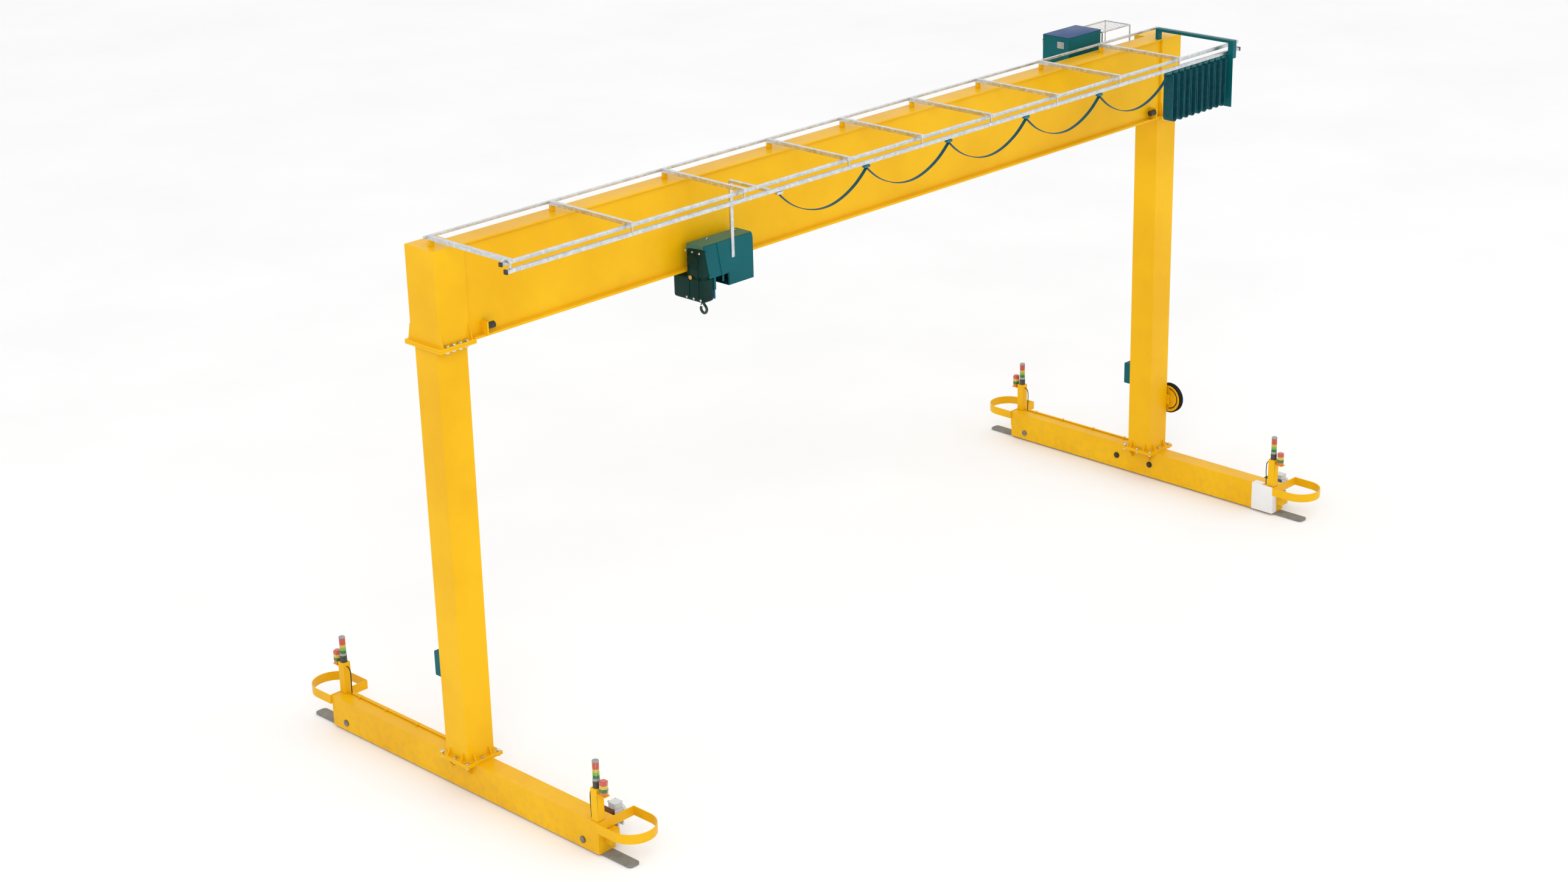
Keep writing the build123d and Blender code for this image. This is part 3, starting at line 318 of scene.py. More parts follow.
def paints():
    """Every finish of the crane, by the name that the pieces ask for, made once."""
    if PAINTS:
        return PAINTS
    ink = colours()
    wheel = middle_of("wheel_left_far")
    PAINTS.update({
        "enamel": sprayed_enamel("alkyd_enamel_yellow_sprayed", ink.enamel, ink.enamel_shade, 0.26, True),
        "teal": sprayed_enamel("alkyd_enamel_teal_sprayed", ink.hoist, "#02535A", 0.36),
        "roof": sprayed_enamel("alkyd_enamel_blue_sprayed", ink.roof, "#0E3A66", 0.34),
        "deck": sprayed_enamel("alkyd_enamel_grey_green_sprayed", "#4D7A69", "#436E5F", 0.42),
        "navy": sprayed_enamel("alkyd_enamel_navy_sprayed", "#0A2A44", "#08233A", 0.36),
        "blue": sprayed_enamel("alkyd_enamel_bright_blue_sprayed", "#0C5E92", "#0A5483", 0.34),
        "casting": sprayed_enamel("iron_cast_sprayed_deep_green", "#03332D", "#022722", 0.46),
        "motor": sprayed_enamel("alkyd_enamel_light_grey_sprayed", ink.motor, "#C9CDD0", 0.36),
        # Painted shade: this brown enamel on the real left gearbox stands in for the shade on the white drive cover's
        # side.
        "gearbox_shade_brown": sprayed_enamel("brown_enamel_painted_shade_brushed", ink.gearbox, "#5F381C", 0.55),
        "cover": sprayed_enamel("polyester_powder_coat_white_baked", "#EDEDED", "#DEDEDE", 0.42),
        "zinc": galvanised("steel_hot_dip_galvanised"),
        "steel": machined("carbon_steel_machined", "#5D6165", 0.28),
        "roller": machined("carbon_steel_turned_hardened", "#6B6F73", 0.22),
        "rope": machined("wire_rope_steel_drawn_greased", "#34383A", 0.38),
        "forging": painted_forging("steel_forged_painted_dark_green", "#10302B", "#1F463F"),
        "guard": moulded("nitrile_rubber_grey_sheet_worn", "#74746C", "#878780", 0.62, 60.0, 0.001),
        "rubber": moulded("natural_rubber_black_moulded", "#1B1A16", "#37331F", 0.55),
        "nylon": moulded("nylon_teal_injection_moulded", "#0B5B60", "#12747A", 0.42),
        "housing": moulded("abs_charcoal_injection_moulded", "#2B2A27", "#45433D", 0.38),
        "cap": moulded("abs_grey_injection_moulded", "#8D8F8C", "#A5A7A3", 0.4),
        "wheel": wheel_casting("cast_iron_hub_with_polyurethane_tyre", wheel.y, wheel.z),
        "cable": extruded_sheath("pvc_sheath_teal_extruded", ink.cable),
        "lead": extruded_sheath("pvc_sheath_black_extruded", "#16181C"),
        "deep_green": lens("polycarbonate_green_moulded", "#2F8A3A", "#1C6A2B"),
        "green": lens("polycarbonate_bright_green_moulded", "#8FD84A", "#63B32E"),
        "amber": lens("polycarbonate_amber_moulded", "#F3D35A", "#DDB02E"),
        "red": lens("polycarbonate_red_moulded", "#E4694F", "#C9442F"),
        "orange": lens("polycarbonate_orange_moulded", "#F08A2A", "#D56D18"),
        "sight": lens("glass_sight_amber_pressed", "#F6B431", "#D98E16"),
    })
    return PAINTS


# ---- mesh tools ------------------------------------------------------------------------------
def make_piece(name, fill, paint_names, crease=38):
    """A new mesh object that fill draws, shaded smooth except at creases."""
    bm = bmesh.new()
    fill(bm)
    bmesh.ops.recalc_face_normals(bm, faces=bm.faces)
    mesh = bpy.data.meshes.new(name)
    bm.to_mesh(mesh)
    bm.free()
    mesh.shade_smooth()
    mesh.set_sharp_from_angle(angle=math.radians(crease))
    for paint in paint_names:
        mesh.materials.append(paints()[paint])
    piece = bpy.data.objects.new(name, mesh)
    bpy.context.scene.collection.objects.link(piece)
    return piece


def block(bm, low, high, edge=0.0, index=0):
    """A rounded block between two corners."""
    low, high = Vector(low), Vector(high)
    size, middle = high - low, (high + low) / 2
    matrix = Matrix.Translation(middle) @ Matrix.Diagonal((*size, 1))
    made = bmesh.ops.create_cube(bm, size=1, matrix=matrix)["verts"]
    if edge:
        edges = list(dict.fromkeys(e for v in made for e in v.link_edges))
        made = bmesh.ops.bevel(bm, geom=edges, offset=min(edge, min(size) * 0.45), segments=3,
                               affect="EDGES", profile=0.6, clamp_overlap=True)["verts"]
    for v in made:
        for f in v.link_faces:
            f.material_index = index


def turned(bm, profile, centre, axis, steps=32, index=0, flutes=None):
    """A turned solid: profile gives (place along the axis, radius), and flutes (count, depth)."""
    axis = Vector(axis).normalized()
    side = Y if abs(axis.z) > 0.5 or abs(axis.x) > 0.5 else Z
    up = axis.cross(side)
    rings = []
    for along, radius in profile:
        base = Vector(centre) + axis * along
        if radius <= 0:
            rings.append([bm.verts.new(base)])
            continue
        ring = []
        for k in range(steps):
            turn = TURN * k / steps
            reach = radius - (flutes[1] if flutes and k * flutes[0] * 2 // steps % 2 else 0)
            ring.append(bm.verts.new(base + (side * math.cos(turn) + up * math.sin(turn)) * reach))
        rings.append(ring)
    for a, b in zip(rings, rings[1:]):
        for k in range(steps):
            after = (k + 1) % steps
            corners = [a[k % len(a)], a[after % len(a)], b[after % len(b)], b[k % len(b)]]
            corners = list(dict.fromkeys(corners))
            if len(corners) > 2:
                bm.faces.new(corners).material_index = index


def capped(*rings):
    """The profile of a solid knob: (place along the axis, radius) rings, closed flat at both ends."""
    return [(rings[0][0], 0), *rings, (rings[-1][0], 0)]


def prism(bm, outline, axis, span, index):
    """A flat plate: its outline across Y or Z, carried between two places along that axis."""
    def point(first, second, along):
        return Vector((first, along, second)) if axis is Y else Vector((first, second, along))
    ends = [[bm.verts.new(point(*spot, along)) for spot in outline] for along in span]
    faces = [bm.faces.new(ends[0]), bm.faces.new(ends[1][::-1])]
    faces += [bm.faces.new((ends[0][i], ends[1][i], ends[1][i - 1], ends[0][i - 1]))
              for i in range(len(outline))]
    for face in faces:
        face.material_index = index
    bmesh.ops.recalc_face_normals(bm, faces=faces)


def bolt(bm, centre, axis, across, height, index=0):
    """A hexagon head on its washer, standing on a face."""
    washer = height * 0.2
    turned(bm, capped((0, across * 0.68), (washer, across * 0.68)), centre, axis, 20, index)
    turned(bm, capped((washer, across / 2), (height * 0.9, across / 2), (height, across * 0.42)),
           centre, axis, 6, index)


def smooth_line(points, fine=12):
    """Points read from the smooth spline whose control points are these."""
    data = bpy.data.curves.new("route", "CURVE")
    data.dimensions = "3D"
    data.resolution_u = fine
    lay_spline(data, points)
    holder = bpy.data.objects.new("route", data)
    mesh = bpy.data.meshes.new_from_object(holder)
    line = [v.co.copy() for v in mesh.vertices]
    bpy.data.meshes.remove(mesh)
    bpy.data.objects.remove(holder)
    bpy.data.curves.remove(data)
    return line


def lay_spline(data, points):
    """An open spline of the third order through a route's control points."""
    spline = data.splines.new("NURBS")
    spline.points.add(len(points) - 1)
    for point, at in zip(spline.points, points):
        point.co = (*at, 1)
    spline.order_u = 3
    spline.use_endpoint_u = True


def sweep(bm, line, section, across, index=0, turn=None):
    """A section of (across, up) points carried along a line. across is the section's first direction."""
    rings = []
    for i, at in enumerate(line):
        ahead = (line[min(i + 1, len(line) - 1)] - line[max(i - 1, 0)]).normalized()
        first = (across - ahead * across.dot(ahead)).normalized()
        second = ahead.cross(first)
        angle = turn(i) if turn else 0.0
        c, s = math.cos(angle), math.sin(angle)
        rings.append([bm.verts.new(at + first * (u * c - v * s) + second * (u * s + v * c))
                      for u, v in section])
    count = len(section)
    for a, b in zip(rings, rings[1:]):
        for k in range(count):
            after = (k + 1) % count
            bm.faces.new([a[k], a[after], b[after], b[k]]).material_index = index
    for end in (rings[0], rings[-1]):
        bm.faces.new(end).material_index = index


def flat_section(wide, thick, cores):
    """A flat cable's outline: rounded ends, and a shallow groove between its cores."""
    steps = cores * 4
    top = []
    for i in range(steps + 1):
        share = i / steps
        dip = 0.5 - 0.5 * math.cos(TURN * share * cores)
        top.append((wide * (share - 0.5), thick / 2 * (0.72 + 0.28 * dip)))
    return top + [(u, -v) for u, v in reversed(top)]


def round_section(radius, sides):
    """A round wire's outline."""
    return [(radius * math.cos(TURN * k / sides), radius * math.sin(TURN * k / sides))
            for k in range(sides)]


def middle_of(node):
    """The middle of a node's box."""
    low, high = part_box(node)
    return (low + high) / 2


# ---- the stage -------------------------------------------------------------------------------
class CRANE_OT_stage(bpy.types.Operator):
    """Add the floor, the soft lights and the camera"""
    bl_idname = "crane.stage"
    bl_label = "Stage"

    def execute(self, context):
        scene = context.scene
        camera = bpy.data.cameras.new("camera")
        camera.lens, camera.sensor_width = 62.53, 36.0
        camera.clip_end = 500
        eye = bpy.data.objects.new("camera", camera)
        # The camera stands off the near left corner, 12 m up.
        place_m, yaw, pitch, roll = (-18.583, -17.365, 11.652), 0.7946, 0.3679, -0.0246
        ahead = Vector((math.sin(yaw) * math.cos(pitch), math.cos(yaw) * math.cos(pitch), -math.sin(pitch)))
        right = Vector((math.cos(yaw), -math.sin(yaw), 0))
        up = right.cross(ahead)
        right, up = (right * math.cos(roll) + up * math.sin(roll),
                     up * math.cos(roll) - right * math.sin(roll))
        matrix = Matrix((right, up, -ahead)).transposed().to_4x4()
        matrix.translation = place_m
        eye.matrix_world = matrix
        scene.collection.objects.link(eye)
        scene.camera = eye

        floor_mesh = bpy.data.meshes.new("studio_floor")
        half = 140
        floor_mesh.from_pydata([(-half, -half, 0), (half, -half, 0), (half, half, 0), (-half, half, 0)],
                               [], [(0, 1, 2, 3)])
        floor = bpy.data.objects.new("studio_floor", floor_mesh)
        scene.collection.objects.link(floor)
        # Painted studio floor: pale and matt, with hardly any tone.
        material, tree, shader, where = surface("studio_paint_white_rolled", Roughness=0.9)
        painted(tree, shader, clouds(tree, where, 0.4), (0.3, colours().floor), (0.7, "#FBFBFB"))
        floor_mesh.materials.append(material)

        world = bpy.data.worlds.new("studio")
        world.use_nodes = True
        world.node_tree.nodes["Background"].inputs["Color"].default_value = (1, 1, 1, 1)
        world.node_tree.nodes["Background"].inputs["Strength"].default_value = 1.0
        scene.world = world
        for name, place_m, aim, size, power in (
                ("key_light", (-16, -14, 17), (0, 0, 2.5), 12, 1100),
                ("fill_light", (14, -18, 12), (0, 0, 2.5), 14, 350)):
            lamp = bpy.data.lights.new(name, "AREA")
            lamp.shape, lamp.size, lamp.energy = "DISK", size, power
            holder = bpy.data.objects.new(name, lamp)
            holder.location = place_m
            holder.rotation_euler = (Vector(aim) - Vector(place_m)).to_track_quat("-Z", "Y").to_euler()
            scene.collection.objects.link(holder)
        scene.view_settings.view_transform = "Standard"
        return {"FINISHED"}


# ---- cables ----------------------------------------------------------------------------------
# One hanging stretch: (share of the way between the clamps, drop in millimetres).
LOOP_RUN = [(0.0, 0), (0.075, 79), (0.175, 154), (0.295, 212), (0.43, 248), (0.57, 250), (0.70, 216),
            (0.82, 157), (0.925, 81), (1.0, 0)]


class CRANE_OT_festoon_cables(bpy.types.Operator):
    """Hang the flat cables between the tow arm, the carriers and the parked bundle"""
    bl_idname = "crane.festoon_cables"
    bl_label = "Festoon cables"

    def execute(self, context):
        size = sizes()
        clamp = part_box("carrier_1")[0].z
        track = middle_of("carrier_1").y
        places = [middle_of("tow_arm").x] + [middle_of(f"carrier_{i}").x for i in range(1, 5)]
        places.append(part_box("parked_carriers")[0].x + CARRIER_HALF)
        grip = 0.004
        for k, (left, right) in enumerate(zip(places, places[1:])):
            first, last = left + grip, right - grip
            lean = math.atan2(LOOP_RUN[1][1] * MM, (last - first) * LOOP_RUN[1][0])
            top = clamp - CABLE_SEAT - CABLE_DROP * math.cos(lean)
            route = [Vector((first + (last - first) * share, track, top - drop * MM)) for share, drop in LOOP_RUN]
            line = smooth_line(route, 10)
            section = flat_section(size.cable_width, size.cable_thick, 4)
            cable = make_piece(f"festoon_cable_{k + 1}", lambda bm: sweep(bm, line, section, Y), ["cable"], 60)
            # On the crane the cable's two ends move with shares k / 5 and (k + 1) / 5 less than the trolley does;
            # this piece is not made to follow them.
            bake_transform(cable)
            if k == 0:
                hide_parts("festoon_loops")
        return {"FINISHED"}


class CRANE_OT_parked_cables(bpy.types.Operator):
    """Fold the stored flat cables between the parked carriers"""
    bl_idname = "crane.parked_cables"
    bl_label = "Parked cables"

    def execute(self, context):
        size = sizes()
        low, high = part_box("parked_cable")
        track = middle_of("parked_cable").y
        folds, gap = 9, 0.010
        pitch = (high.x - low.x + gap) / folds
        section = flat_section(size.fold_width, size.fold_thick, 8)
        for i in range(folds):
            x = low.x + (pitch - gap) / 2 + pitch * i
            out = (pitch - gap - size.fold_thick) / 2
            deep = high.z - low.z - size.fold_thick / 2
            # Down one side, round the bottom and up the other; each fold hangs a little differently.
            lean = 0.004 * math.sin(2.1 * i)
            route = [Vector((x + a * out + b * lean, track, high.z - c)) for a, b, c in (
                (-1, 0, 0.0), (-1, 0, 0.12), (-1.0, 1, 0.26), (-1.0, 1, deep - 0.09), (-0.98, 1, deep - 0.022),
                (-0.45, 1, deep + 0.006), (0.45, 1, deep + 0.006), (0.98, 1, deep - 0.022),
                (1.0, 1, deep - 0.09), (1.0, 1, 0.26), (1, 0, 0.12), (1, 0, 0.0))]
            line = smooth_line(route, 8)
            fold = make_piece(f"parked_fold_{i + 1}", lambda bm: sweep(bm, line, section, Y), ["cable"], 60)
            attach(fold, "root")
            if i == 0:
                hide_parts("parked_cable")
        return {"FINISHED"}


def post_tops():
    """The middle of each signal post's top, by its carriage and the side that it stands on."""
    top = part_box("stack_housings")[0].z
    found = {}
    for name in SIDES:
        x, end = middle_of(f"wheel_{name}_near").x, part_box(f"carriage_{name}")[1].y - NOSE
        for side in (-1, 1):
            found[name, side] = (x + side * POST_INSET, side * (end - POST_INSET), top)
    return found


class CRANE_OT_signal_leads(bpy.types.Operator):
    """Run a lead from each stack light down behind its post"""
    bl_idname = "crane.signal_leads"
    bl_label = "Signal leads"

    def execute(self, context):
        size = sizes()
        for (name, side), (x, y, top) in post_tops().items():
            face = y - side * POST_SIDE / 2
            bow = face - side * 0.045
            points = [(x, face, top - 0.040), (x, bow, top - 0.040), (x, bow - side * 0.007, top - 0.150),
                      (x, bow, top - 0.240), (x, bow, top - POST_HEIGHT)]
            data = bpy.data.curves.new(f"signal_lead_{name}_{'far' if side > 0 else 'near'}", "CURVE")
            data.dimensions, data.resolution_u = "3D", 12
            data.bevel_depth, data.bevel_resolution = size.lead / 2, 3
            data.use_fill_caps = True
            lay_spline(data, points)
            data.materials.append(paints()["lead"])
            lead = bpy.data.objects.new(data.name, data)
            context.scene.collection.objects.link(lead)
            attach(lead, "root")
            line = smooth_line(points)
            if (name, side) == ("left", -1):
                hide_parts("signal_cables")
        return {"FINISHED"}


class CRANE_OT_wire_rope(bpy.types.Operator):
    """Lay the wire rope's strands from the drum, under the sheave and up to the anchor"""
    bl_idname = "crane.wire_rope"
    bl_label = "Wire rope"

    def execute(self, context):
        size = sizes()
        low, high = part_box("wire_rope")
        sheave = middle_of("rope_sheave")
        x = (low.x + high.x) / 2
        near, far = low.y + size.rope / 2, high.y - size.rope / 2
        reach = (far - near) / 2
        line = [Vector((x, near, high.z - (high.z - sheave.z) * k / 60)) for k in range(60)]
        line += [Vector((x, sheave.y - reach * math.cos(t), sheave.z - reach * math.sin(t)))
                 for t in [math.pi * k / 60 for k in range(61)]]
        line += [Vector((x, far, sheave.z + (ROPE_ANCHOR - sheave.z) * k / 30)) for k in range(1, 31)]
        run = [0.0]
        for a, b in zip(line, line[1:]):
            run.append(run[-1] + (b - a).length)

        def strands(bm):
            wire = size.rope * 0.19
            out = size.rope / 2 - wire
            for n in range(6):
                turn = TURN * n / 6
                section = [(out + u, v) for u, v in round_section(wire, 6)]
                sweep(bm, line, section, X, turn=lambda i, t=turn: t + TURN * run[i] / size.lay)
            sweep(bm, line, round_section(out - wire * 0.4, 6), X)
        rope = make_piece("wire_rope_strands", strands, ["rope"], 70)
        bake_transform(rope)
        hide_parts("wire_rope")

        drum = middle_of("rope_drum")
        start, turns, pitch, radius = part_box("rope_drum")[0].x + 0.062, 11, 0.0104, 0.090

        def wound(bm):
            coil = [Vector((start + pitch * t, drum.y + radius * math.cos(TURN * t),
                            drum.z + radius * math.sin(TURN * t)))
                    for t in [k / 40 for k in range(turns * 40)]]
            sweep(bm, coil, round_section(size.rope / 2 * 0.98, 8), X)
        winding = make_piece("drum_winding", wound, ["rope"], 60)
        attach(winding, "drum")
        return {"FINISHED"}


# ---- drives, lights and boxes ------------------------------------------------------------------
class CRANE_OT_travel_drives(bpy.types.Operator):
    """Build the finned travel motors and their gearboxes"""
    bl_idname = "crane.travel_drives"
    bl_label = "Travel drives"

    def execute(self, context):
        # The left gearbox takes the brown painted shade and the right one dark green forging paint.
        for name, box_paint in zip(SIDES, ("gearbox_shade_brown", "forging")):
            # The gearbox stands on the carriage's face, and the motor on the gearbox. The gearbox is a real part, but
            # the left one's brown is painted shade of the white drive cover's side.
            x = middle_of(f"wheel_{name}_near").x + CARRIAGE_HALF
            wheel = middle_of(f"wheel_{name}_near").y
            y, z, motor = wheel - 0.070, 0.240, x + 0.070

            def drive(bm):
                block(bm, (x, wheel - 0.140, 0.050), (motor, wheel + 0.060, 0.330), 0.014)
                for k in range(4):
                    for up in (0.072, 0.308):
                        bolt(bm, (motor, wheel - 0.118 + 0.052 * k, up), X, 0.016, 0.009, 4)
                turned(bm, capped((0, 0.046), (0.006, 0.046), (0.010, 0.040)), (motor, wheel, 0.100), X)
                turned(bm, capped((0, 0.080), (0.012, 0.080), (0.016, 0.074)), (motor, y, z), X, 48, 1)
                # Cooling fins run along the motor, 12 to the half turn.
                turned(bm, capped((0.016, 0.079), (0.104, 0.079)), (motor, y, z), X, 96, 1, (24, 0.010))
                turned(bm, capped((0.104, 0.080), (0.128, 0.080), (0.136, 0.078), (0.144, 0.070),
                                  (0.150, 0.060), (0.152, 0.052), (0.149, 0.048), (0.152, 0.044), (0.149, 0.040),
                                  (0.152, 0.036), (0.149, 0.030), (0.154, 0.026)), (motor, y, z), X, 48, 1)
                block(bm, (motor + 0.020, y - 0.045, 0.305), (motor + 0.110, y + 0.045, 0.352), 0.008, 1)
                block(bm, (motor + 0.017, y - 0.048, 0.352), (motor + 0.113, y + 0.048, 0.362), 0.004, 1)
                for dx in (0.028, 0.102):
                    for dy in (-0.037, 0.037):
                        bolt(bm, (motor + dx, y + dy, 0.362), Z, 0.009, 0.004, 4)
                turned(bm, capped((0, 0.013), (0.018, 0.013), (0.022, 0.009), (0.030, 0.009)),
                       (motor + 0.050, y + 0.045, 0.338), Y, 12, 3)
                for foot in (motor + 0.030, motor + 0.086):
                    block(bm, (foot, y - 0.060, z - 0.098), (foot + 0.020, y + 0.060, z - 0.070), 0.003, 1)
            piece = make_piece(f"travel_drive_{name}", drive, [box_paint, "motor", box_paint, "housing", "zinc"])
            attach(piece, "root")
            if name == "left":
                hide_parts("travel_motors")
        return {"FINISHED"}


class CRANE_OT_stack_lights(bpy.types.Operator):
    """Build the stack lights' ribbed lenses and housings, and the side beacons"""
    bl_idname = "crane.stack_lights"
    bl_label = "Stack lights"

    def execute(self, context):
        def ribbed(low, high, radius):
            """Profile of a lens that has a rib every 6 mm."""
            steps = max(2, round((high - low) / 0.006))
            profile = [(low, 0), (low, radius - 0.002)]
            for k in range(steps):
                at = low + 0.001 + (high - low - 0.002) * (k + 0.5) / steps
                profile += [(at - 0.0022, radius - 0.0018), (at, radius), (at + 0.0022, radius - 0.0018)]
            return profile + [(high, radius - 0.002), (high, 0)]

        def housings(bm):
            for at in post_tops().values():
                turned(bm, capped((0, 0.035), (0.004, 0.035), (0.006, 0.033), (0.058, 0.033), (0.062, 0.030),
                                  (0.066, 0.030)), at, Z, 36, 0)
                turned(bm, capped((0.066, 0.0315), (0.070, 0.033), (0.084, 0.033), (0.090, 0.030)), at, Z, 36, 1)
                turned(bm, [(0.244, 0), (0.244, 0.031), (0.252, 0.0315), (0.258, 0.028), (0.262, 0.020),
                            (0.264, 0.0)], at, Z, 36, 1)
        for node, low, high, paint in (("stack_green", 0.090, 0.150, "green"), ("stack_amber", 0.150, 0.178, "amber"),
                                       ("stack_red", 0.178, 0.244, "red")):
            paint_names = [paint, "deep_green"] if node == "stack_green" else [paint]

            def level(bm):
                for at in post_tops().values():
                    middle = (low + high) / 2
                    if node == "stack_green":
                        turned(bm, ribbed(low, middle, 0.030), at, Z, 36, 1)
                        turned(bm, ribbed(middle, high, 0.030), at, Z, 36, 0)
                    else:
                        turned(bm, ribbed(low, high, 0.030), at, Z, 36, 0)
            piece = make_piece(f"lens_{paint}", level, paint_names, 25)
            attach(piece, "root")
            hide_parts(node)
        piece = make_piece("light_housings", housings, ["housing", "cap"], 30)
        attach(piece, "root")
        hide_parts("stack_housings")

        def beacons(bm):
            for (_, side), at in post_tops().items():
                foot = Vector(at) + Vector((0, side * 0.090, -0.045))
                for k, (low, high, radius) in enumerate(((0.0, 0.034, 0.0385), (0.034, 0.064, 0.040),
                                                         (0.064, 0.100, 0.039), (0.100, 0.140, 0.040))):
                    top = high - 0.010 if k == 3 else high - 0.0015
                    turned(bm, capped((low, radius - 0.002), (low + 0.002, radius), (top, radius),
                                      (high, radius - (0.012 if k == 3 else 0.003))), foot, Z, 6, k)
        piece = make_piece("side_beacon_lenses", beacons, ["orange", "deep_green", "amber", "red"], 20)
        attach(piece, "root")
        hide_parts("side_beacons")
        return {"FINISHED"}


class CRANE_OT_reel(bpy.types.Operator):
    """Build the cable reel: its flanges, the wound cable and the bar across its face"""
    bl_idname = "crane.reel"
    bl_label = "Cable reel"

    def execute(self, context):
        low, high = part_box("cable_reel")
        at = (low + high) / 2
        half, rim = (high.x - low.x) / 2, (high.z - low.z) / 2

        def reel(bm):
            for side in (-1, 1):
                out = side * half
                turned(bm, [(out, 0.026), (out, 0.040), (out - side * 0.010, 0.048),
                            (out - side * 0.012, rim - 0.050),
                            (out - side * 0.004, rim - 0.038), (out, rim - 0.026), (out - side * 0.003, rim - 0.018),
                            (out - side * 0.008, rim - 0.018), (out - side * 0.017, rim - 0.052),
                            (out - side * 0.017, 0.026), (out, 0.026)], at, X, 64, 0)
                block(bm, at + Vector((out - side * 0.008, -0.012, -rim + 0.030)),
                      at + Vector((out, 0.012, rim - 0.030)), 0.002, 2)
                for k in range(6):
                    turn = math.pi * (k + 0.5) / 3
                    spot = at + Vector((out - side * 0.011, 0.090 * math.cos(turn), 0.090 * math.sin(turn)))
                    bolt(bm, spot, X * side, 0.014, 0.007, 3)
            turned(bm, [(-half + 0.004, 0.0122), (-half + 0.004, 0.030), (half - 0.004, 0.030),
                        (half - 0.004, 0.0122), (-half + 0.004, 0.0122)], at, X, 32, 3)
            # Five turns of black cable lie side by side between the flanges.
            turns, inside = 5, half - 0.011
            pitch = 2 * inside / turns
            profile = [(-inside, rim - 0.060)]
            for k in range(turns * 8 + 1):
                crown = math.sin(math.pi * (k / 8 % 1))
                profile.append((-inside + pitch * k / 8, rim - pitch / 2 + pitch / 2 * crown - 0.0005))
            profile += [(inside, rim - 0.060), (-inside, rim - 0.060)]
            turned(bm, profile, at, X, 64, 1)
        piece = make_piece("cable_reel_wound", reel, ["enamel", "lead", "cap", "zinc"], 32)
        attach(piece, "cable_reel")
        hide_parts("cable_reel")
        return {"FINISHED"}


